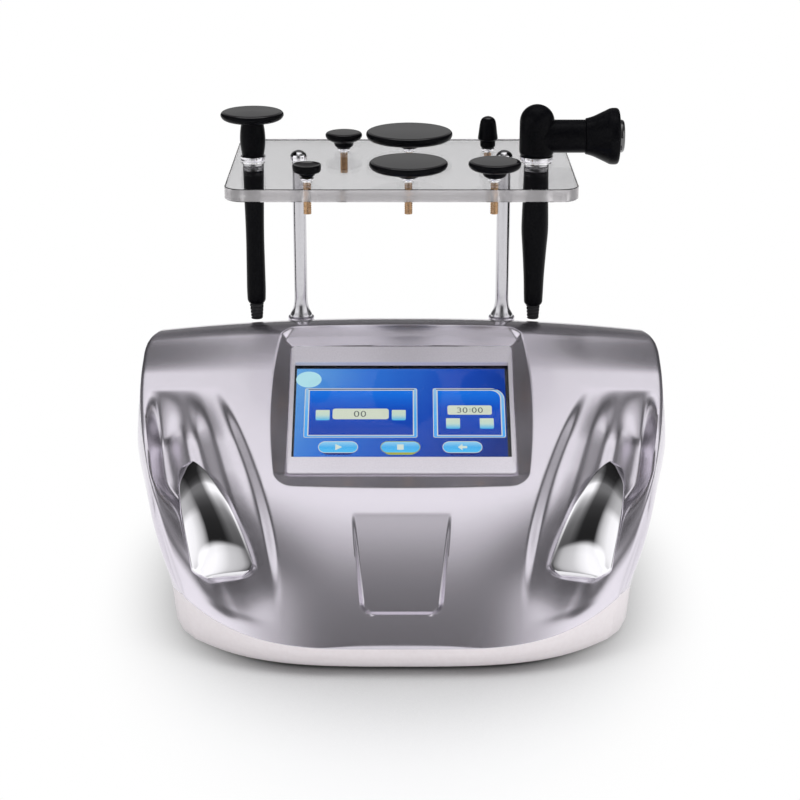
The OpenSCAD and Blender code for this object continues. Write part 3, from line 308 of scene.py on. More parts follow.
def sideways(along):
    """Unit vectors to the right of the given directions, seen from above."""
    out = np.stack([along[:, 1], -along[:, 0]], -1)
    return out / np.linalg.norm(out, axis=1, keepdims=True)


def facing_up(triangle, points):
    """The triangle's corners in anticlockwise order, seen from above."""
    a, b, c = (points[k] for k in triangle)
    turn = (b[0] - a[0]) * (c[1] - a[1]) - (b[1] - a[1]) * (c[0] - a[0])
    return tuple(triangle) if turn > 0 else tuple(triangle)[::-1]


# ---- materials ----
def shader_of(mat):
    return mat.node_tree.nodes["Principled BSDF"]


def new_material(name, colour, roughness, metallic=0, **inputs):
    mat = bpy.data.materials.new(name)
    mat.use_nodes = True
    values = {"Base Color": (*colour, 1), "Roughness": roughness, "Metallic": metallic, **inputs}
    for key, value in values.items():
        shader_of(mat).inputs[key.replace("_", " ")].default_value = value
    return mat


def add_node(owner, kind, settings=(), **inputs):
    """A node of a material or the world."""
    node = owner.node_tree.nodes.new("ShaderNode" + kind)
    for key, value in dict(settings).items():
        setattr(node, key, value)
    for key, value in inputs.items():
        node.inputs[key.replace("_", " ")].default_value = value
    return node


def link(owner, a, b):
    owner.node_tree.links.new(a, b)


def coords(mat):
    return add_node(mat, "TexCoord").outputs["Object"]


def maths(owner, operation, *values, kind="Math"):
    """Result of a maths node; each value is a socket to link or a plain one."""
    node = add_node(owner, kind, {"operation": operation})
    for socket, value in zip(node.inputs, values):
        if isinstance(value, bpy.types.NodeSocket):
            link(owner, value, socket)
        else:
            socket.default_value = value
    return node.outputs["Value" if kind == "Math" or operation in ("LENGTH", "DOT_PRODUCT") else "Vector"]


def map_range(owner, value, start, end, low=0, high=1, how="SMOOTHSTEP"):
    node = add_node(owner, "MapRange", {"interpolation_type": how},
                    From_Min=start, From_Max=end, To_Min=low, To_Max=high)
    link(owner, value, node.inputs["Value"])
    return node.outputs["Result"]


def ramp(mat, value, stops):
    """Colour of a value, from stops of (place, grey tone or colour)."""
    node = add_node(mat, "ValToRGB")
    elements = node.color_ramp.elements
    while len(elements) < len(stops):
        elements.new(0.5)
    for element, (place, tone) in zip(elements, stops):
        element.position = place
        element.color = (*tone, 1) if isinstance(tone, tuple) else (tone, tone, tone, 1)
    link(mat, value, node.inputs["Fac"])
    return node.outputs["Color"]


def noise(mat, scale, **inputs):
    node = add_node(mat, "TexNoise", Scale=scale, **inputs)
    link(mat, coords(mat), node.inputs["Vector"])
    return node.outputs["Fac"]


def add_grain(mat, scale, bump, rough_spread=0):
    """Fine moulded or sprayed grain: a noise bump, and roughness that varies a little."""
    shader = shader_of(mat)
    node = add_node(mat, "Bump", Strength=bump, Distance=0.0002)
    link(mat, noise(mat, scale, Detail=3), node.inputs["Height"])
    link(mat, node.outputs["Normal"], shader.inputs["Normal"])
    if rough_spread:
        rough = shader.inputs["Roughness"].default_value
        broad = noise(mat, scale / 12, Detail=4)
        rough = map_range(mat, broad, 0, 1, rough - rough_spread, rough + rough_spread, "LINEAR")
        link(mat, rough, shader.inputs["Roughness"])


def finished(name, colour, roughness, metallic, mottle, grain, **inputs):
    """Mottle: noise scale and two close colours. Grain: noise scale, bump and spread of roughness."""
    mat = new_material(name, colour, roughness, metallic, **inputs)
    if mottle:
        mottled = ramp(mat, noise(mat, mottle[0], Detail=2), [(0.35, mottle[1]), (0.65, mottle[2])])
        link(mat, mottled, shader_of(mat).inputs["Base Color"])
    add_grain(mat, *grain)
    return mat


def glow_material(name, colour, roughness=0.4):
    mat = new_material(name, (0, 0, 0), roughness, Emission_Strength=1, Specular_IOR_Level=0)
    shader_of(mat).inputs["Emission Color"].default_value = (*colour, 1)
    return mat


# name, colour, roughness, metallic, mottle, grain and other inputs
MAT = {row[0]: finished(*row[:6], **dict(row[6:])) for row in [
    ("silver_paint", (0.72, 0.685, 0.755), 0.23, 0.93, (2600, (0.7, 0.662, 0.735), (0.75, 0.71, 0.785)),
     (2200, 0.015, 0.02), ("Coat_Weight", 0.6), ("Coat_Roughness", 0.06)),
    ("pale_plastic", (0.9, 0.84, 0.86), 0.4, 0, (300, (0.89, 0.83, 0.85), (0.91, 0.855, 0.875)),
     (1800, 0.08, 0.05)),
    ("pale_frame", (0.86, 0.82, 0.89), 0.4, 0.3, (900, (0.84, 0.8, 0.87), (0.88, 0.84, 0.91)), (2500, 0.02, 0.04)),
    ("touch_glass", (1, 1, 1), 0.03, 0, None, (60, 0.01), ("Transmission_Weight", 1), ("IOR", 1.2)),
    ("display_case", (0.012, 0.013, 0.018), 0.3, 0, None, (2500, 0.05)),
    ("chrome", (0.86, 0.85, 0.88), 0.04, 1, None, (90, 0.01, 0.015)),
    ("bracket_steel", (0.55, 0.55, 0.57), 0.38, 1, None, (700, 0.15, 0.08)),
    ("rubber", (0.022, 0.022, 0.024), 0.75, 0, (600, (0.018, 0.018, 0.02), (0.028, 0.028, 0.03)),
     (1600, 0.3, 0.08)),
    ("panel_metal", (0.42, 0.42, 0.45), 0.45, 0.6, (1500, (0.38, 0.38, 0.41), (0.46, 0.46, 0.49)),
     (1200, 0.15, 0.06)),
    ("circuit_board", (0.02, 0.16, 0.06), 0.4, 0, (260, (0.015, 0.13, 0.05), (0.04, 0.24, 0.09)), (900, 0.2, 0.08)),
    ("copper", (0.75, 0.36, 0.16), 0.35, 1, None, (800, 0.2, 0.1)),
    ("black_plastic", (0.02, 0.02, 0.022), 0.45, 0, (400, (0.017, 0.017, 0.019), (0.025, 0.025, 0.027)),
     (1500, 0.2, 0.08)),
    ("red_plastic", (0.5, 0.02, 0.015), 0.3, 0, (300, (0.46, 0.018, 0.014), (0.55, 0.025, 0.018)),
     (900, 0.05, 0.04)),
    ("acrylic", (0.955, 0.95, 0.965), 0.015, 0, None, (40, 0.01), ("Transmission_Weight", 1), ("IOR", 1.49)),
    ("acrylic_edge", (0.93, 0.9, 0.92), 0.2, 0, (60, (0.9, 0.87, 0.89), (0.96, 0.93, 0.95)), (500, 0.1, 0.05),
     ("Transmission_Weight", 0.7), ("IOR", 1.49)),
    ("handle_black", (0.003, 0.003, 0.004), 0.3, 0, (700, (0.002, 0.002, 0.003), (0.005, 0.005, 0.006)),
     (900, 0.03, 0.04), ("Specular_IOR_Level", 0.05)),
    ("post_steel", (0.62, 0.61, 0.64), 0.2, 1, (400, (0.61, 0.6, 0.63), (0.63, 0.62, 0.65)), (900, 0.01, 0.03)),
    ("electrode_black", (0.008, 0.007, 0.009), 0.12, 0, None, (700, 0.02, 0.03), ("IOR", 2), ("Coat_Weight", 1),
     ("Coat_Roughness", 0.05)),
    ("brass", (0.62, 0.38, 0.2), 0.28, 1, (500, (0.56, 0.33, 0.17), (0.7, 0.45, 0.25)), (900, 0.15, 0.08)),
]}


# ---- silver cover ----
ROWS = spaced((EDGE_R, 1.5), (20, 1.2), (100, 1.5), (118, 0.7), (DISH_MID - FLOOR_HALF_L, 2.4),
              (DISH_MID - CUT_HALF_L, 1.8), (DISH_MID + CUT_HALF_L, 1.5), (DISH_MID + FLOOR_HALF_L, 0.7),
              (274, 1.5), (P_END - 6))
SIDE = spaced((0, 3), (24, 0.8), (40, 3), (CUT_HALF_W, 1.5), (FLOOR_HALF_W, 0.75), (99, 1.3),
              FACE_HALF_WIDTH)
COLUMNS = np.concatenate([-SIDE[:0:-1], SIDE])
OUTER_FROM = 97
SIDE_TAPER, SIDE_BULGE, LIP, WALL_FULL, TAPER_END_Y = 21, 8.7, 1.5, 80, -47.8


def row_climb(x, p):
    inner = mix(1, ease(FLOOR_HALF_W + 2, 125, np.abs(x)), ease(60, 112, p))
    return edge_climb(x, p) * inner


def drawn_to_recess(x, p):
    """Shift that makes the grid's columns follow the slanted walls of the front recess."""
    wall = mix(U_HALF_LOW, U_HALF_TOP, np.clip((p - U_LOW) / U_LEN, 0, 1))
    return (wall - 32) * ease(10, 25, x) * (1 - ease(40, 60, x))


def sheet(column, p, inset):
    """x and p of the sheet's points in a column at centre length p, with the edge drawn in."""
    w = half_width(p + CORNER_P * (1 - p / P_END) ** 1.5) - inset
    k = np.abs(column)
    outer = mix(OUTER_FROM, w, (k - OUTER_FROM) / (FACE_HALF_WIDTH - OUTER_FROM))
    x = np.sign(column) * np.where(k <= OUTER_FROM, k + drawn_to_recess(k, p), outer)
    return x, p + row_climb(x, p)


LOOP = border_of(len(ROWS), len(COLUMNS))


def loop_frame():
    """Sharp edge, level outward direction and lower edge at each point of the face's border."""
    row, column = np.divmod(LOOP, len(COLUMNS))
    p = np.concatenate([[0], ROWS[1:-1], [P_END]])[row]
    edges = plain(*sheet(COLUMNS[column], p, 0))
    out = np.pad(sideways(around_loop(edges)), ((0, 0), (0, 1)))
    corner = edges[len(COLUMNS) - 1]
    low_z = mix(corner[2], PARTING_SIDE_Z, ease(-112, -40, edges[:, 1]))
    low_z = np.where(p == 0, edges[:, 2], np.minimum(edges[:, 2], low_z))
    taper = SIDE_TAPER * ease(corner[1], TAPER_END_Y, edges[:, 1]) - narrowed(p)
    low = np.stack([edges[:, 0] * (1 - taper / FACE_HALF_WIDTH), edges[:, 1], low_z], -1)
    low -= out * (LIP * (1 - ease(0, 0.3, np.clip((edges[:, 2] - low_z) / WALL_FULL, 0, 1))))[:, None]
    return edges, out, low


EDGES, OUTWARD, PARTINGS = loop_frame()


def cover_rings(a):
    """Rings below the face: rounded edge, side wall, lower edge and its inner return."""
    e, low = EDGES, PARTINGS
    reach = np.linalg.norm(low - e, axis=1, keepdims=True)
    b = e + np.minimum(EDGE_R, 0.5 * reach) * ((low - e) / np.maximum(reach, 1e-9))
    tight = mix(0.667, 0.96, ease(0.5, 0.9, -OUTWARD[:, 1]))[:, None]
    rings = [(1 - t) ** 3 * a + 3 * (1 - t) ** 2 * t * mix(a, e, tight) + 3 * (1 - t) * t * t * mix(b, e, tight)
             + t ** 3 * b for t in np.linspace(0, 1, 9)[1:]]
    swell = SIDE_BULGE * np.clip(np.linalg.norm(low - b, axis=1) / 100, 0, 1) * np.abs(OUTWARD[:, 0])
    for s in np.linspace(0, 1, 25)[1:]:
        rings.append(mix(b, low, s) + (swell * 6.75 * s * (1 - s) ** 2)[:, None] * OUTWARD)
    rings.append(low - OUTWARD * SHELL_WALL)
    return rings


OPENING_HALF_W, OPENING_HALF_H, PANEL_MID_Z = 100, 27, 83
SIDE_LIMIT, FRONT_LIMIT = 193, 160.28
SCREEN_AT = plain(np.array(0), DISH_MID)


def held_in(reach, limit, soft):
    """Distances that pass limit - soft ease off towards the limit."""
    over = np.maximum(0, reach - (limit - soft))
    return np.where(over > 0, limit - soft * np.exp(-over / soft), reach)


def inside_box(points):
    x, y, z = points[:, 0], points[:, 1], points[:, 2]
    x = np.sign(x) * held_in(np.abs(x), SIDE_LIMIT, 1.5)
    y = np.where(y < 0, -held_in(-y, FRONT_LIMIT, 1.2), y)
    return np.stack([x, y, z], -1)


def cut_away(centre):
    """True where the cover is open: the screen's window and the opening behind the rear panel."""
    local = centre - np.array(SCREEN_AT)
    v = local[:, 1] * cos_d(FACE_SLOPE) + local[:, 2] * sin_d(FACE_SLOPE)
    depth = -local[:, 1] * sin_d(FACE_SLOPE) + local[:, 2] * cos_d(FACE_SLOPE)
    window = (np.abs(centre[:, 0]) < CUT_HALF_W) & (np.abs(v) < CUT_HALF_L) & (depth < -1) & (depth > -9)
    rear = (centre[:, 1] > BACK_Y - 0.5) & (np.abs(centre[:, 0]) < OPENING_HALF_W)
    return window | (rear & (np.abs(centre[:, 2] - PANEL_MID_Z) < OPENING_HALF_H))


def revolve(outline, steps, at=(0, 0, 0), first=0):
    """Points and faces of an outline of (radius, height) turned about an upright axis."""
    a = full_turn(steps)
    points = [np.stack([at[0] + r * np.cos(a), at[1] + r * np.sin(a), at[2] + z + 0 * a], -1) for r, z in outline]
    return np.concatenate(points), band_faces(len(outline), steps, first)


def make_cover():
    column, row = np.meshgrid(COLUMNS, ROWS)
    x, p = sheet(column, row, EDGE_R)
    face = plain(x, p, recess(x, p)).reshape(-1, 3)
    n, count, rings = len(LOOP), len(face), cover_rings(face[LOOP])
    walls = strip_faces(LOOP, range(count, count + n)) + band_faces(len(rings), n, count)
    faces = grid_faces(*column.shape[:2]) + turned_over(walls)
    points = inside_box(np.concatenate([face] + rings))
    centre = points[np.array(faces)].mean(1)
    faces = [f for f, gone in zip(faces, cut_away(centre)) if not gone]
    seat = [(SEAT_R, SEAT_Z - SEAT_H), (SEAT_R, SEAT_Z - 0.8), (SEAT_R - 0.25, SEAT_Z - 0.25),
            (SEAT_R - 0.8, SEAT_Z), (POST_HOLE_R, SEAT_Z), (POST_HOLE_R, SEAT_Z - SEAT_H)]
    for side in (-1, 1):   # a raised seat under each post
        turned, turned_faces = revolve(seat, 48, (side * POST_X, POST_Y, 0), len(points))
        points = np.concatenate([points, turned])
        faces += turned_faces
    add_object("cover", points, faces, "silver_paint", "housing", "top_shell", 35)


# ---- pale base ----
BASE_TAPER, CREASE_Z, CREASE_STEP, SKIRT_TOP = 0.1, 7.7, 0.7, 3


def base_ring(level_z, step):
    z = np.minimum(level_z, PARTINGS[:, 2] - SHELL_GAP)
    inset = BASE_INSET + BASE_TAPER * (PARTINGS[:, 2] - z) + step
    ring = PARTINGS - OUTWARD * inset[:, None]
    ring[:, 2] = z
    return ring


def make_base():
    """Upper band, a crease, and a lower band that turns under."""
    top = PARTINGS[:, 2] - SHELL_GAP
    heights = [(top, 0), (mix(top, CREASE_Z + 1, 0.5), 0), (CREASE_Z + 0.9, 0), (CREASE_Z + 0.6, 0.15),
               (CREASE_Z + 0.25, CREASE_STEP), (CREASE_Z, CREASE_STEP), (SKIRT_TOP, CREASE_STEP + 1.2),
               (FOOT_H + 0.6, CREASE_STEP + 1.6), (FOOT_H + 0.15, CREASE_STEP + 2), (FOOT_H, CREASE_STEP + 2.7)]
    rings = [base_ring(z, step) for z, step in heights]
    rings.insert(0, rings[0] - OUTWARD * SHELL_WALL)
    n, count = len(LOOP), len(rings)
    faces = turned_over(band_faces(count, n) + [range((count - 1) * n, count * n)])
    add_object("base", np.concatenate(rings), faces, "pale_plastic", "housing", "base_shell", 35)


# ---- chrome insets ----
INSET_LOW, INSET_HIGH, INSET_LIFT, INSET_DOME, INSET_TILT, INSET_T = 54, 152, 0.9, 2.6, 4.5, 2.2
INSET_END, INSET_ROUND = 0.04, 0.06   # shares of the length and half width that round down to the rim


def inset_mid(t):
    return mix(FACE_HALF_WIDTH - 70.7, FACE_HALF_WIDTH - 39.2, t ** 1.15)


def inset_half(t):
    return 22.3 * np.sqrt(1.012 - t ** 1.6) * mix(0.55, 1, sin_d(90 * np.clip(t / 0.09, 0, 1)))


def inset_bed(t, side):
    """Smooth depth of the scoop along one edge of the inset."""
    k = np.linspace(0, 1, 60)
    p = mix(INSET_LOW, INSET_HIGH, k)
    return np.polyval(np.polyfit(k, recess(inset_mid(k) + side * inset_half(k), p), 2), t)


def make_inset(side, name, node):
    rows, cols = 73, 49
    t, v = np.meshgrid(np.linspace(0, 1, rows), np.linspace(-1, 1, cols), indexing="ij")
    p = mix(INSET_LOW, INSET_HIGH, t)
    x = inset_mid(t) + v * inset_half(t)
    bed = mix(inset_bed(t, -1), inset_bed(t, 1), (v + 1) / 2)
    ends = np.minimum(1, np.minimum(t, 1 - t) / INSET_END)
    proud = (INSET_TILT * (1 - v) / 2 + INSET_DOME * (1 - v * v)) * np.sin(math.pi * t) ** 0.6
    rim = np.sqrt(np.clip(1 - (1 - np.minimum(ends, (1 - np.abs(v)) / INSET_ROUND)) ** 2, 0, 1))
    top = plain(x, p, bed - INSET_LIFT - mix(0.4, 1, rim) * (INSET_T + proud)).reshape(-1, 3)
    low = plain(x, p, np.maximum(bed, recess(x, p)) - INSET_LIFT + 1.5).reshape(-1, 3)
    border = border_of(rows, cols)
    faces = grid_faces(rows, cols) + turned_over(strip_faces(border, [len(top) + k for k in border]))
    points = np.concatenate([top, low])
    if side < 0:
        points[:, 0] *= -1
        faces = turned_over(faces)
    add_object(name, points, faces, "chrome", node=node, smooth_angle=50)


# ---- screen ----
GLASS_TOP = DISH_DEPTH + COLLAR_H
LCD_TOP = GLASS_TOP + GLASS_T + 0.2
LEVEL_STEP = 0.02   # height between one layer of the picture and the next


def on_screen(u, v, height):
    """Place on the screen's own axes: u across, v up the slope, height out of the face."""
    c, s = cos_d(FACE_SLOPE), sin_d(FACE_SLOPE)
    return (SCREEN_AT[0] + u, SCREEN_AT[1] + v * c - height * s, SCREEN_AT[2] + v * s + height * c)


def smaller(radii, d=0):
    """Four corner radii, each less d."""
    return [max(0, r - d) for r in (radii if isinstance(radii, (tuple, list)) else [radii] * 4)]


def rounded_outline(box, radii, steps=8):
    """Rounded rectangle, anticlockwise from the lower left; one radius or one for each corner."""
    u0, v0, u1, v1 = box
    corners = [(u0, v0, 1, 1, 180), (u1, v0, -1, 1, 270), (u1, v1, -1, -1, 0), (u0, v1, 1, -1, 90)]
    out = []
    for (u, v, su, sv, start), r in zip(corners, smaller(radii)):
        for k in range(steps + 1 if r else 1):
            a = math.radians(start + (90 * k / steps if r else 0))
            out.append((u + su * r + r * math.cos(a), v + sv * r + r * math.sin(a)) if r else (u, v))
    return out


def screen_shape(name, loops, level, material):
    """A flat shape on the display: outlines (the first outer, the rest holes) at a small height step."""
    flat = [q for loop in loops for q in loop]
    triangles = tessellate_polygon([[Vector((*q, 0)) for q in loop] for loop in loops])
    points = [on_screen(u, v, -LCD_TOP + LEVEL_STEP * (1 + level)) for u, v in flat]
    add_object(name, points, [facing_up(t, flat) for t in triangles], material, smooth_angle=0)


def screen_box(name, box, radii, level, material):
    screen_shape(name, [rounded_outline(box, radii)], level, material)


def frame_shape(name, box, border, radii, level, material):
    loops = [rounded_outline(box, radii), rounded_outline(padded(box, -border), smaller(radii, border))]
    screen_shape(name, loops, level, material)


def padded(box, d):
    return box[0] - d, box[1] - d, box[2] + d, box[3] + d


def around(u, v, half_w, half_h):
    return u - half_w, v - half_h, u + half_w, v + half_h


def gradient_glow(name, colours, start, end, noise_amount=0):
    """Glowing colours that run from one place on the screen to another."""
    mat = glow_material(name, (0, 0, 0), 0.35)
    a, b = Vector(on_screen(*start, 0)) * MM, Vector(on_screen(*end, 0)) * MM
    offset = maths(mat, "SUBTRACT", coords(mat), a, kind="VectorMath")
    value = maths(mat, "DOT_PRODUCT", offset, (b - a) / (b - a).length_squared, kind="VectorMath")
    if noise_amount:
        clouds = noise(mat, 42, Detail=5, Roughness=0.62, Distortion=0.9)
        value = maths(mat, "MULTIPLY_ADD", clouds, noise_amount, value)
    stops = [(k / (len(colours) - 1), colour) for k, colour in enumerate(colours)]
    link(mat, ramp(mat, value, stops), shader_of(mat).inputs["Emission Color"])
    return mat


# Boxes on the screen, as left, low, right and high side
LIT = (-77.5, -43, 76.5, 42)
PANELS = [((-71, -22.2, 11.5, 23.5), 1.5), ((23, -22.2, 75.6, 23.5), (1.5, 1.5, 10, 1.5))]
VALUE_BOXES = [("value_left", (-50.3, -5.4, -9.3, 4.4), 2), ("value_right", (33.6, -1.2, 66, 7.4), 1.6)]
BUTTONS = (-45.7, -0.8, 43.9)
BUTTON_V, BUTTON_W, BUTTON_H = -30.8, 28.8, 10.5
OUTLINE_W, PANEL_RIM_W, PANEL_LINE_W = 0.5, 2.2, 0.8
KEY_COLOURS = [(0.6, 0.7, 0.56), (0.52, 0.68, 0.6), (0.05, 0.45, 0.78)]


def make_panels(line, dark):
    deep = gradient_glow("panel_blue", [(0.012, 0.19, 0.8), (0.01, 0.075, 0.5), (0.012, 0.055, 0.4)],
                         (0, 22), (0, -20), 0.12)
    rim = gradient_glow("panel_rim", [(0.3, 0.52, 0.78), (0.1, 0.42, 0.88), (0.06, 0.36, 0.86)], (0, 24), (0, -22))
    for k, (box, radii) in enumerate(PANELS):
        frame_shape(f"panel_outline_{k}", box, OUTLINE_W, radii, 1, line)
        frame_shape(f"panel_rim_{k}", padded(box, -OUTLINE_W), PANEL_RIM_W, smaller(radii, OUTLINE_W), 1, rim)
        inner = (box[0] + 2.7, box[1] + 1.6, box[2] - 2.4, box[3] - 1.4)
        radii = smaller(radii, 2)
        screen_box(f"panel_{k}", inner, radii, 2, deep)
        frame_shape(f"panel_line_{k}", inner, PANEL_LINE_W, radii, 3, line)
        shade = (inner[0] - 0.2, inner[3] + 0.05, inner[2] + 0.3, inner[3] + 0.75)
        screen_box(f"panel_shade_{k}", shade, 0, 3, dark)


def make_buttons(line, dark):
    half, v = BUTTON_H / 2, BUTTON_V
    pill = gradient_glow("button_blue", [(0.3, 0.62, 0.86), (0.06, 0.42, 0.82), (0.08, 0.5, 0.9)],
                         (0, v + half), (0, v - half))
    olive = glow_material("button_olive", (0.38, 0.42, 0.05))
    white = glow_material("icon_white", (0.62, 0.72, 0.66))
    for k, u in enumerate(BUTTONS):
        box = around(u, v, BUTTON_W / 2, half)
        screen_box(f"button_shadow_{k}", (box[0] + 2, box[1] - 1.6, box[2] - 2, v), (half, half, 0.5, 0.5), 1,
                   olive if k == 1 else dark)
        screen_box(f"button_{k}", box, half, 2, pill)
        frame_shape(f"button_line_{k}", box, OUTLINE_W, half, 3, olive if k == 1 else line)
    start, stop, back = BUTTONS
    screen_shape("icon_start", [[(start - 2, v - 2.8), (start + 3, v), (start - 2, v + 2.8)]], 4, white)
    screen_box("icon_stop", around(stop, v, 2.4, 2.4), 0.4, 4, white)
    screen_shape("icon_return", [[(back - 3.4, v), (back, v - 2.8), (back, v - 1), (back + 3.4, v - 1),
                                  (back + 3.4, v + 1), (back, v + 1), (back, v + 2.8)]], 4, white)


def make_screen():
    sky = gradient_glow("screen_blue", [(0.12, 0.36, 0.72), (0.03, 0.16, 0.62), (0.014, 0.07, 0.45),
                                        (0.006, 0.028, 0.22)], (-70, 44), (78, -34), 0.12)
    line = glow_material("panel_line", (0.62, 0.66, 0.62))
    dark = glow_material("panel_shadow", (0.012, 0.015, 0.16))
    beige = glow_material("value_box", (0.62, 0.68, 0.56))
    ink = glow_material("value_ink", (0.1, 0.12, 0.12))
    key = gradient_glow("key_blend", KEY_COLOURS, (0, 3.2), (0, -6.5))
    key_low = gradient_glow("key_low_blend", KEY_COLOURS, (0, -4.7), (0, -14))
    screen_box("screen_image", LIT, 0, 0, sky)
    make_panels(line, dark)
    for name, box, radius in VALUE_BOXES:
        screen_box(name, box, radius, 4, beige)
    keys = [(-57.5, -1.6, key), (-2, -1.6, key), (37.5, -9.3, key_low), (62, -9.3, key_low)]
    for k, (u, v, mat) in enumerate(keys):
        screen_box(f"key_{k}", around(u, v, 5.1, 4.8), (1.2, 1.2, 0.6, 0.6), 4, mat)
    make_buttons(line, dark)
    ellipse = [(-68.5 + 9.4 * math.cos(a), 31.8 + 7.6 * math.sin(a)) for a in full_turn(40)]
    screen_shape("badge", [ellipse], 1, glow_material("badge_cyan", (0.42, 0.72, 0.8)))
    make_digits("reading_left", "00", (-30.3, -0.5), 8, ink)
    make_digits("reading_right", "30:00", (49.8, 3), 7.2, ink)


NUMERAL_W, STROKE, UPRIGHT_SHARE = 0.62, 0.055, 0.75


def bow(u, v, half_w, half_h, degrees):
    return [(u + half_w * cos_d(a), v + half_h * sin_d(a)) for a in degrees]


def numeral_path(character):
    """Centre line of a numeral in a box 1 high and NUMERAL_W wide."""
    if character == "0":
        return bow(0.31, 0.5, 0.31, 0.5, np.linspace(0, 360, 25))
    return bow(0.27, 0.75, 0.29, 0.25, range(150, -91, -20)) + bow(0.27, 0.27, 0.33, 0.27, range(80, -151, -20))


def make_digits(name, text, centre, size, material):
    """Plain numerals drawn as flat strokes."""
    h, half, advance = size * 0.62, size * STROKE, size * 0.62
    widths = [advance * (0.5 if c == ":" else 1) for c in text]
    u, v = centre[0] - sum(widths) / 2, centre[1] - h / 2
    points, faces = [], []
    for character, width in zip(text, widths):
        dots = [[(0.1, y - 0.07), (0.1, y + 0.07)] for y in (0.3, 0.7)]
        for line in dots if character == ":" else [numeral_path(character)]:
            q = np.array(line) * h
            out = sideways(np.gradient(q, axis=0))
            out *= half * np.where(np.abs(out[:, :1]) > np.abs(out[:, 1:]), 1, UPRIGHT_SHARE)
            n, m = len(points), len(q)
            left = u + (advance - NUMERAL_W * h) / 2
            points += [on_screen(left + a, v + b, -LCD_TOP + 6 * LEVEL_STEP) for a, b in [*(q - out), *(q + out)]]
            faces += [(n + k, n + m + k, n + m + k + 1, n + k + 1) for k in range(m - 1)]
        u += width
    add_object(name, points, faces, material, smooth_angle=0)


def make_frame_plate():
    """Flat pale frame round the screen, with a small bevel and a collar down to the glass."""
    level = -DISH_DEPTH + 0.2
    outer = rounded_outline(around(0, 0, FRAME_W / 2, FRAME_L / 2), 2, 6)
    hole = rounded_outline(around(0, 0, WINDOW_W / 2, WINDOW_L / 2), 0.6, 6)

    def shifted(loop, d):
        """Loop moved towards its own middle by d on each axis."""
        return [(u - math.copysign(d, u), v - math.copysign(d, v)) for u, v in loop]

    rings = [(outer, level), (outer, level + 0.9), (shifted(outer, 0.3), level + 1.2),
             (shifted(hole, -0.4), level + 0.3), (hole, level), (hole, level - COLLAR_H)]
    points = [on_screen(u, v, h) for loop, h in rings for u, v in loop]
    faces = band_faces(len(rings), len(outer))
    add_object("frame_plate", points, faces, "pale_frame", node="screen_frame", smooth_angle=30)


# ---- tray ----
def circle_loop(x, y, r):
    return [(x + r * math.cos(a), y + r * math.sin(a)) for a in full_turn(40)]


def grown(loop, d):
    """Closed loop moved outwards by d, along its own normals."""
    return np.array(loop) + d * sideways(around_loop(loop))


STEM_R, STEM_GAP, TRAY_BEVEL, SAWN_SLOPE = 3, 0.3, 0.5, 0.3
STEMS_AT = {"cup": (-68, FRONT_ROW_Y), "wide_disc": (5, FRONT_ROW_Y), "medium_disc": (67, FRONT_ROW_Y),
            "small_disc": (-44, REAR_ROW_Y), "large_disc": (6, REAR_ROW_Y), "bullet": (66, REAR_ROW_Y)}
LEFT_X, RIGHT_X, LEFT_GRIP_R, RIGHT_GRIP_R, GRIP_GAP = -111, 101, 7.85, 10.25, 0.4


def make_tray():
    mid_y = POST_Y - TRAY_FORWARD
    holes = [(*at, STEM_R + STEM_GAP) for at in STEMS_AT.values()]
    holes += [(x, POST_Y, r) for x, r in ((-POST_X, POST_HOLE_R), (POST_X, POST_HOLE_R),
                                          (LEFT_X, LEFT_GRIP_R + GRIP_GAP), (RIGHT_X, RIGHT_GRIP_R + GRIP_GAP))]
    loops = [rounded_outline(around(0, mid_y, TRAY_W / 2, TRAY_D / 2), TRAY_CORNER_R, 14)]
    loops += [circle_loop(*hole) for hole in holes]
    bottom = TRAY_TOP - TRAY_T
    levels = [(TRAY_TOP, TRAY_BEVEL), (TRAY_TOP - TRAY_BEVEL, 0), (bottom + TRAY_BEVEL, 0), (bottom, TRAY_BEVEL)]
    points = [(x, y, z) for z, b in levels for k, loop in enumerate(loops) for x, y in grown(loop, b if k else -b)]
    n, first, faces, rims = len(points) // len(levels), 0, [], []
    for k, loop in enumerate(loops):
        rim = range(first, first + len(loop))
        rims.append([Vector(points[i]) for i in rim])
        quads = [q for j in (0, n, 2 * n) for q in strip_faces([i + j + n for i in rim], [i + j for i in rim])]
        faces += turned_over(quads) if k else quads
        first += len(loop)
    for t in tessellate_polygon(rims):
        up = facing_up(t, points)
        faces += [up, tuple(3 * n + i for i in up[::-1])]
    tray = add_object("tray_plate", points, faces, "acrylic", smooth_angle=30)
    tray.data.materials.append(MAT["acrylic_edge"])
    for face in tray.data.polygons:
        middle = face.center / MM
        past = max(abs(middle.x) - TRAY_W / 2, abs(middle.y - mid_y) - TRAY_D / 2)
        if abs(face.normal.z) < SAWN_SLOPE and past > -0.1 - TRAY_CORNER_R * 0.3:
            face.material_index = 1
    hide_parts("tray")


# ---- turned pieces ----
def filleted(outline, default=0.6):
    """Outline of (r, z) or (r, z, fillet) with each inner corner rounded."""
    pts = [(q[0], q[1], q[2] if len(q) > 2 else default) for q in outline]
    out = [pts[0][:2]]
    for a, b, c in zip(pts[:-2], pts[1:-1], pts[2:]):
        pa, pb, pc = (np.array(q[:2]) for q in (a, b, c))
        la, lc = np.linalg.norm(pa - pb), np.linalg.norm(pc - pb)
        cut = min(b[2], 0.45 * la, 0.45 * lc)
        if cut < 0.02:
            out.append(tuple(pb))
            continue
        start, end = pb + (pa - pb) * cut / la, pb + (pc - pb) * cut / lc
        for t in np.linspace(0, 1, 5):
            out.append(tuple(mix(mix(start, pb, t), mix(pb, end, t), t)))
    out.append(pts[-1][:2])
    return out


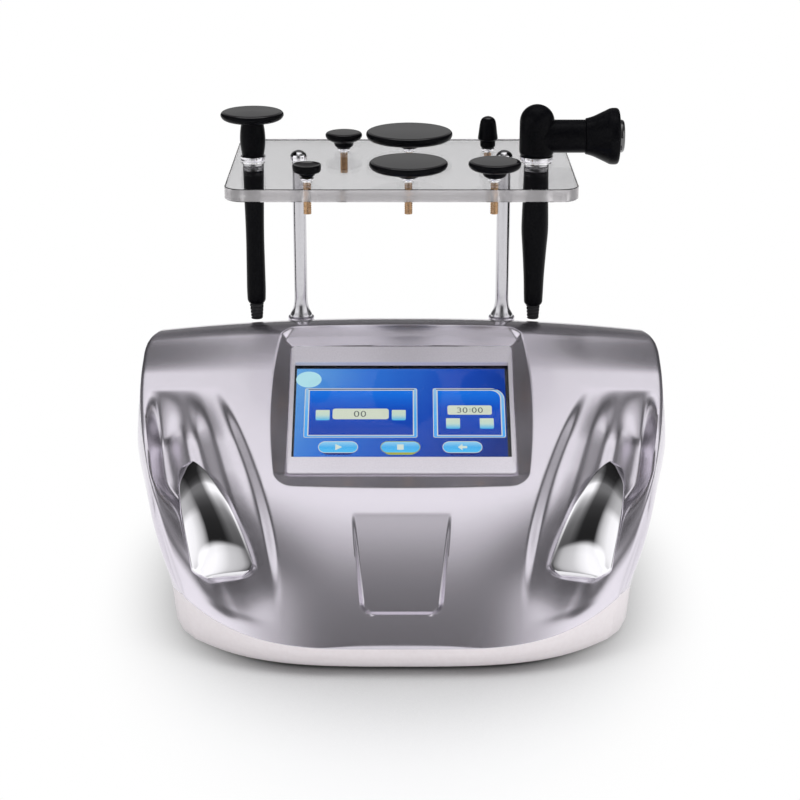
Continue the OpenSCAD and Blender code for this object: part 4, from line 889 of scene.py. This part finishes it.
def lathe(name, outline, at, finish, body, node=None, steps=72, axis="z", fillet=0.6):
    """A turned piece. Axis x lays it over, so that heights run to the right."""
    points, faces = revolve(filleted(outline, fillet), steps)
    if axis == "x":
        points = np.stack([points[:, 2], points[:, 1], -points[:, 0]], -1)
    return add_object(name, points + np.array(at), faces, finish, body, node, 38)


def helix(name, z0, z1, radii, groove, shape, pitch, at, finish, body, node, steps=40, rows_per_turn=10):
    """A round bar with a helical groove from height z0 to z1, with its radii there; shape is a function."""
    rows = max(8, int((z1 - z0) / pitch * rows_per_turn))
    z, a = np.meshgrid(np.linspace(z0, z1, rows + 1), full_turn(steps), indexing="ij")
    r = mix(*radii, (z - z0) / (z1 - z0)) - groove * shape((z / pitch - a / (2 * math.pi)) % 1)
    points = np.stack([at[0] + r * np.cos(a), at[1] + r * np.sin(a), z], -1).reshape(-1, 3)
    faces = band_faces(rows + 1, steps) + [range(steps)[::-1], range(rows * steps, (rows + 1) * steps)]
    add_object(name, points, faces, finish, body, node, 60)


def thread_shape(phase):
    return np.abs(2 * phase - 1)


def rib_shape(phase):
    return ease(0.55, 0.7, phase) * (1 - ease(0.85, 1, phase))


STEM_RING_R, STEM_RING_H, STEM_BELOW, STEM_ABOVE = 5, 1.6, 16, 4.9
THREAD_DEPTH, THREAD_PITCH, DISC_H = 0.42, 1.6, 12
HEAD_Z = TRAY_TOP + STEM_RING_H + 0.1


def make_stem(at, body, stem):
    r, z, top = STEM_RING_R, TRAY_TOP, TRAY_TOP + STEM_RING_H
    helix(f"{body}_thread", z - TRAY_T - STEM_BELOW, top + STEM_ABOVE, (STEM_R, STEM_R), THREAD_DEPTH, thread_shape,
          THREAD_PITCH, at, "brass", body, f"{stem}_stem")
    ring = [(STEM_R, z), (r - 0.4, z), (r, z + 0.4), (r, z + 1.2), (r - 0.4, top), (STEM_R, top)]
    lathe(f"{body}_thread_ring", ring, (*at, 0), "chrome", body, fillet=0.2)


def dull_sides(piece):
    """Only the polished top faces keep the glossy coat."""
    piece.data.materials.append(MAT["handle_black"])
    for face in piece.data.polygons:
        face.material_index = 0 if face.normal.z > 0.75 else 1


def disc_outline(d, h=DISC_H):
    r = d / 2
    n = min(9, r * 0.55)
    return [(0, 0), (n - 2.2, 0), (n - 0.6, 1.4, 1.5), (n, h * 0.36, 2.5), (r - 3.2, h * 0.46, 1),
            (r - 0.9, h * 0.58, 1), (r, h * 0.74, 1.5), (r, h * 0.84, 1.2), (r - 0.8, h * 0.95, 1),
            (r - 2.4, h * 0.995, 1), (0, h)]


def make_electrodes():
    cup = [(0, 0), (3.4, 0), (5.6, 1.4), (6.4, 3.4), (9.3, 3.8, 0.8), (10, 4.6, 0.8), (10.3, 6.5),
           (10.3, 9.3, 0.5), (9.9, 9.6, 0.3), (9.4, 9.5), (7.9, 8.4, 1.2), (4.3, 7.4, 1.5), (0, 7)]
    bullet = [(0, 0), (4.6, 0), (5.8, 1.2), (5.8, 5), (6.2, 6), (7.6, 6.6, 0.6), (7.6, 7.6, 1), (7, 12, 4),
              (6.3, 18, 4), (5.6, 21, 3), (4.2, 22.8, 2), (2.2, 23.8, 2), (0, 24.2)]
    heads = {"cup": cup, "wide_disc": disc_outline(56.7), "medium_disc": disc_outline(38),
             "small_disc": disc_outline(28), "large_disc": disc_outline(66, DISC_H + 1), "bullet": bullet}
    for stem, outline in heads.items():
        at, body = STEMS_AT[stem], stem if stem.endswith("disc") else f"{stem}_electrode"
        dull_sides(lathe(f"{body}_top", outline, (*at, HEAD_Z), "electrode_black", body, f"{stem}_head", 96))
        make_stem(at, body, stem)


# ---- handles ----
RING_H, BARREL_H, ELBOW_R, NECK_R, CONE_R = 3.4, 25.5, 13, 12.3, 21
AXIS_Z = TRAY_TOP + 18


def make_grip(side, at, grip, inner_r, outer_r, fillet, relief_top, relief_r):
    """Grip, chrome ring on the tray and ribbed strain relief of one handle."""
    body, low, high = f"{side}_handle", TRAY_TOP, TRAY_TOP + RING_H
    lathe(f"{body}_grip", grip, at, "handle_black", body, f"{side}_grip")
    ring = [(inner_r, low), (outer_r, low), (outer_r, high), (inner_r, high)]
    lathe(f"{body}_ring", ring, at, "chrome", body, f"{side}_ring", fillet=fillet)
    helix(f"{body}_relief", RELIEF_BOTTOM, relief_top, (4.4, relief_r), 1.1, rib_shape, 2.6, at, "rubber", body,
          f"{side}_strain_relief", 48, 16)


def make_left_handle():
    at, r, b, t = (LEFT_X, POST_Y, 0), LEFT_GRIP_R, GRIP_BOTTOM, TRAY_TOP
    grip = [(0, b), (r - 2, b), (r - 0.9, b + 2, 1.5), (r - 0.6, b + 10, 6), (r - 0.8, b + 30, 10),
            (r - 1, b + 52, 10), (r - 0.6, b + 74, 10), (r, b + 95, 10), (r, t - 0.05), (0, t - 0.05)]
    make_grip("left", at, grip, 3.1, r + 1.6, 0.5, b, 5.4)
    z, d = t + RING_H + 0.1, 23.5
    top = z + BARREL_H
    disc = [(0, z), (8.1, z, 0.8), (9.1, z + 6, 5), (9.6, z + 12, 5), (9.2, z + 19, 5), (8.1, top, 1.5),
            (d - 4, top + 1.2, 1.5), (d - 1.2, top + 2.6, 1.2), (d, top + 4.6, 1.5), (d, top + 5.8, 1),
            (d - 0.8, top + 7.2, 1), (d - 2.4, top + 7.9, 1), (0, top + 8.2)]
    dull_sides(lathe("left_handle_disc", disc, at, "electrode_black", "left_electrode", "left_disc", 110))


def make_right_handle():
    at, r, b, t, body = (RIGHT_X, POST_Y, 0), RIGHT_GRIP_R, GRIP_BOTTOM, TRAY_TOP, "right_handle"
    high = t + RING_H + 0.6
    grip = [(0, b - 2), (5.5, b - 2), (7, b, 1), (7.3, b + 6, 4), (7.7, b + 20, 8), (8.8, b + 38, 10),
            (r, b + 57, 8), (r - 0.2, b + 68, 8), (r - 0.9, b + 90, 10), (r - 1.1, t - 1, 1), (7, t - 0.05),
            (7, high), (0, high)]
    make_grip("right", at, grip, 7.05, 12.5, 0.6, b - 2, 5.2)
    z, n, c = t + RING_H + 0.05, NECK_R, CONE_R
    dome = [(ELBOW_R * math.cos(a), z + 25.5 + ELBOW_R * math.sin(a), 0) for a in np.linspace(0, math.pi / 2, 14)]
    elbow = [(0, z), (11.5, z, 0.8), (ELBOW_R, z + 2.5, 1.5)] + dome
    lathe("right_handle_elbow", elbow, at, "handle_black", body, "right_elbow", 96)
    neck = [(0, 2), (n, 2), (n, 36), (0, 36)]
    cone = [(0, 0), (n + 1, 0, 0.6), (n + 1.4, 2, 1), (n + 2.6, 6, 2), (n + 5, 11, 2), (c - 1.6, 15.5, 2),
            (c - 0.3, 18, 1.5), (c, 20, 1.5), (c, 23, 1), (c - 0.6, 24.2, 0.6), (c - 1.6, 24.8, 0.5), (0, 24.8)]
    cap = [(0, 0), (n, 0), (n, 2.4, 0.6), (n - 0.9, 3.8, 0.6), (0, 4.2)]
    for part, outline, x, finish, node, fillet in [
            ("neck", neck, 0, "handle_black", None, 0.5), ("cone", cone, 36.05, "handle_black", "right_cone", 0.6),
            ("cap", cap, 60.9, "electrode_black", "right_end_cap", 0.6)]:
        lathe(f"right_handle_{part}", outline, (RIGHT_X + x, POST_Y, AXIS_Z), finish, body, node, 96, "x", fillet)


# ---- posts ----
POST_R, POST_PIN_R, POST_CAP_R = 5, 4, 6.8


def make_posts():
    z, top, r, pin = SEAT_Z, TRAY_TOP - TRAY_T, POST_R, POST_PIN_R
    for s, name in ((-1, "left"), (1, "right")):
        x = s * POST_X
        post = [(0, z - 26), (pin, z - 26), (pin, z + 0.05, 0), (8.5, z + 0.05, 0.4), (8.5, z + 1.6, 0.8),
                (6.6, z + 5, 2.5), (5.5, z + 9, 3), (r, z + 14, 3), (r, top - 0.05, 0.3), (pin, top - 0.05, 0),
                (pin, TRAY_TOP + 4.5), (0, TRAY_TOP + 4.5)]
        lathe(f"post_{name}_bar", post, (x, POST_Y, 0), "post_steel", "housing", f"post_{name}", 96)
        cap = [(4.1, 0), (6.25, 0, 0.3), (6.25, 2.8, 0.5)]
        cap += [(POST_CAP_R * math.cos(a), 0.7 + POST_CAP_R * math.sin(a), 0)
                for a in np.linspace(math.radians(22.5), math.pi / 2, 12)[1:]]
        lathe(f"post_{name}_cap", cap, (x, POST_Y, TRAY_TOP + 0.05), "chrome", "housing", "post_caps", 64)


# ---- CAD nodes that stay as they are, by finish ----
KEPT = {
    "touch_glass": "touch_glass", "display_case": "lcd_module", "rubber": "feet", "copper": "rf_coil",
    "bracket_steel": "lcd_bracket case_screws panel_screws post_nuts",
    "panel_metal": "rear_panel power_supply heat_sink",
    "circuit_board": "main_board rf_board", "red_plastic": "rocker_switch", "brass": "left_disc_stem",
    "chrome": "fan_guard left_socket right_socket",
    "black_plastic": "buzzer fan_housing fan_rotor mains_inlet fuse_drawer switch_housing",
}


def dress_nodes():
    for finish, nodes in KEPT.items():
        for node in nodes.split():
            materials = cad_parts[node].data.materials
            materials.clear()
            materials.append(MAT[finish])


# ---- studio ----
def blended(owner, share, a, b, target):
    """Two shaders mixed by a share, linked to the output."""
    blend = add_node(owner, "MixShader")
    for value, socket in zip((share, a, b), blend.inputs):
        link(owner, value, socket)
    link(owner, blend.outputs["Shader"], owner.node_tree.nodes[target].inputs["Surface"])


def make_floor():
    """Paper that fades to plain white away from the object, with a painted contact shadow: ambient occlusion
    darkens its colour where the object stands on it.
    """
    mat = new_material("floor_paper", (0.88, 0.88, 0.88), 0.9)
    white = add_node(mat, "Emission", Color=(1, 1, 1, 1))
    near = maths(mat, "MULTIPLY", coords(mat), (1.8, 1, 1), kind="VectorMath")
    fade = map_range(mat, maths(mat, "LENGTH", near, kind="VectorMath"), 0.2, 0.42)
    blended(mat, fade, shader_of(mat).outputs["BSDF"], white.outputs["Emission"], "Material Output")
    # Painted contact shadow: ambient occlusion darkens the paper's colour near the object, where shade falls.
    corner = add_node(mat, "AmbientOcclusion", {"samples": 8}, Distance=0.13)
    shade = ramp(mat, corner.outputs["AO"], [(0.3, 0.16), (1, 0.88)])
    link(mat, shade, shader_of(mat).inputs["Base Color"])
    add_grain(mat, 300, 0.02)
    s = 3
    new_object("floor", [(-s, -s, 0), (s, -s, 0), (s, s, 0), (-s, s, 0)], [(0, 1, 2, 3)], mat)


# Tones of the tent, as stops of (degrees, tone). Overhead, wing and low tones run from the front horizon
# over the top to the back; each is multiplied by a share that runs from the middle to the sides.
DOME_R, GLOW = 6, 1.15
SIDE_SHIFT, SHIFT_FROM, SHIFT_END = 24, (0.1, 0.3), (84, 108)
OVERHEAD_TONES = [(0, 0.05), (30, 0.08), (44, 0.14), (54, 0.24), (64, 0.5), (76, 0.8), (84, 1), (96, 1),
                  (101, 0.5), (106, 0.28), (113, 0.12), (130, 0.07), (152, 0.11), (166, 0.17), (180, 0.05)]
MIDDLE_SHARE = [(22, 1), (30, 0.16), (48, 0.16), (58, 0.1)]
WING_SHARE = [(45, 0), (50, 0.5), (57, 0.9), (64, 1)]
WING_TONES = [(50, 0), (54, 1), (74, 1), (82, 0.5), (98, 0.4), (110, 0.15), (135, 0.1), (180, 0.08)]
LOW_SHARE = [(10, 0), (16, 0.12), (20, 0.4), (29, 0.6), (35, 0.85), (40, 1)]
LOW_TONES = [(0, 0.6), (25, 1), (48, 1), (52, 0.9), (55, 0)]


def make_studio_dome():
    """A tent of pale and dark zones that shows only in reflections."""
    mat = new_material("studio_tent", (0, 0, 0), 1)
    place = add_node(mat, "SeparateXYZ")
    link(mat, coords(mat), place.inputs["Vector"])
    front = maths(mat, "MULTIPLY", place.outputs["Y"], -1)
    height = maths(mat, "DIVIDE", maths(mat, "ARCTAN2", place.outputs["Z"], front), math.pi)
    side = maths(mat, "ABSOLUTE", place.outputs["X"])
    shift = map_range(mat, side, SHIFT_FROM[0] * DOME_R, SHIFT_FROM[1] * DOME_R, 0, SIDE_SHIFT / 180)
    in_front = map_range(mat, height, SHIFT_END[0] / 180, SHIFT_END[1] / 180, 1, 0)
    shifted = maths(mat, "SUBTRACT", height, maths(mat, "MULTIPLY", shift, in_front))
    across = maths(mat, "DIVIDE", side, DOME_R)
    total = None
    for level, tones, share in ((shifted, OVERHEAD_TONES, MIDDLE_SHARE), (height, WING_TONES, WING_SHARE),
                                (height, LOW_TONES, LOW_SHARE)):
        tone = ramp(mat, level, [(a / 180, t) for a, t in tones])
        part = maths(mat, "MULTIPLY", tone, ramp(mat, across, [(sin_d(a), t) for a, t in share]), kind="VectorMath")
        total = maths(mat, "ADD", total, part, kind="VectorMath") if total else part
    glow = add_node(mat, "Emission", Strength=GLOW)
    link(mat, total, glow.inputs["Color"])
    link(mat, glow.outputs["Emission"], mat.node_tree.nodes["Material Output"].inputs["Surface"])
    rings, sides, r = 24, 48, DOME_R
    points = [(r * math.cos(e) * math.cos(a), r * math.cos(e) * math.sin(a), r * math.sin(e))
              for e in np.linspace(0, math.pi / 2 - 0.01, rings) for a in full_turn(sides)]
    faces = band_faces(rings, sides) + [range((rings - 1) * sides, rings * sides)]
    dome = new_object("studio_tent", points, faces, mat)
    for ray in ("camera", "diffuse", "volume_scatter", "shadow"):
        setattr(dome, f"visible_{ray}", False)


def make_world():
    """Soft light, strongest from behind; plain white to the camera, to glass and to reflections."""
    world = bpy.data.worlds.new("studio")
    bpy.context.scene.world = world
    world.use_nodes = True
    back = world.node_tree.nodes["Background"]
    back.inputs["Color"].default_value = (0.97, 0.97, 1, 1)
    split = add_node(world, "SeparateXYZ")
    link(world, add_node(world, "TexCoord").outputs["Generated"], split.inputs["Vector"])
    link(world, map_range(world, split.outputs["Y"], -0.6, 0.5, 0.2, 0.75), back.inputs["Strength"])
    white = add_node(world, "Background", Color=(1, 1, 1, 1))
    path = add_node(world, "LightPath")
    seen = path.outputs["Is Camera Ray"]
    for ray in ("Is Glossy Ray", "Is Transmission Ray"):
        seen = maths(world, "MAXIMUM", seen, path.outputs[ray])
    blended(world, seen, back.outputs["Background"], white.outputs["Background"], "World Output")


def make_lights():
    for name, at, aim, size, power in (("softbox_top", (0, 0.6, 1.5), (0, 0, 0.1), 1.3, 22),
                                       ("softbox_front", (0.3, -2, 0.45), (0, 0, 0.08), 0.9, 16)):
        data = bpy.data.lights.new(name, "AREA")
        data.shape = "SQUARE"
        data.size = size
        data.energy = power
        lamp = in_scene(bpy.data.objects.new(name, data))
        lamp.location = at
        lamp.rotation_euler = (Vector(aim) - Vector(at)).to_track_quat("-Z", "Y").to_euler()
        lamp.visible_glossy = lamp.visible_transmission = False


def make_camera():
    data = bpy.data.cameras.new("camera")
    data.sensor_width = 36
    data.lens = 90
    data.clip_end = 50
    camera = in_scene(bpy.data.objects.new("camera", data))
    camera.location = (-0.0011, -1.3835, 0.633)
    camera.rotation_euler = (math.radians(70.4), 0, 0)
    bpy.context.scene.camera = camera


make_cover()
make_base()
make_inset(-1, "inset_left_plate", "inset_left")
make_inset(1, "inset_right_plate", "inset_right")
make_frame_plate()
make_screen()
make_tray()
make_posts()
make_electrodes()
make_left_handle()
make_right_handle()
dress_nodes()
make_floor()
make_studio_dome()
make_world()
make_lights()
make_camera()
bpy.context.scene.view_settings.view_transform = "Standard"
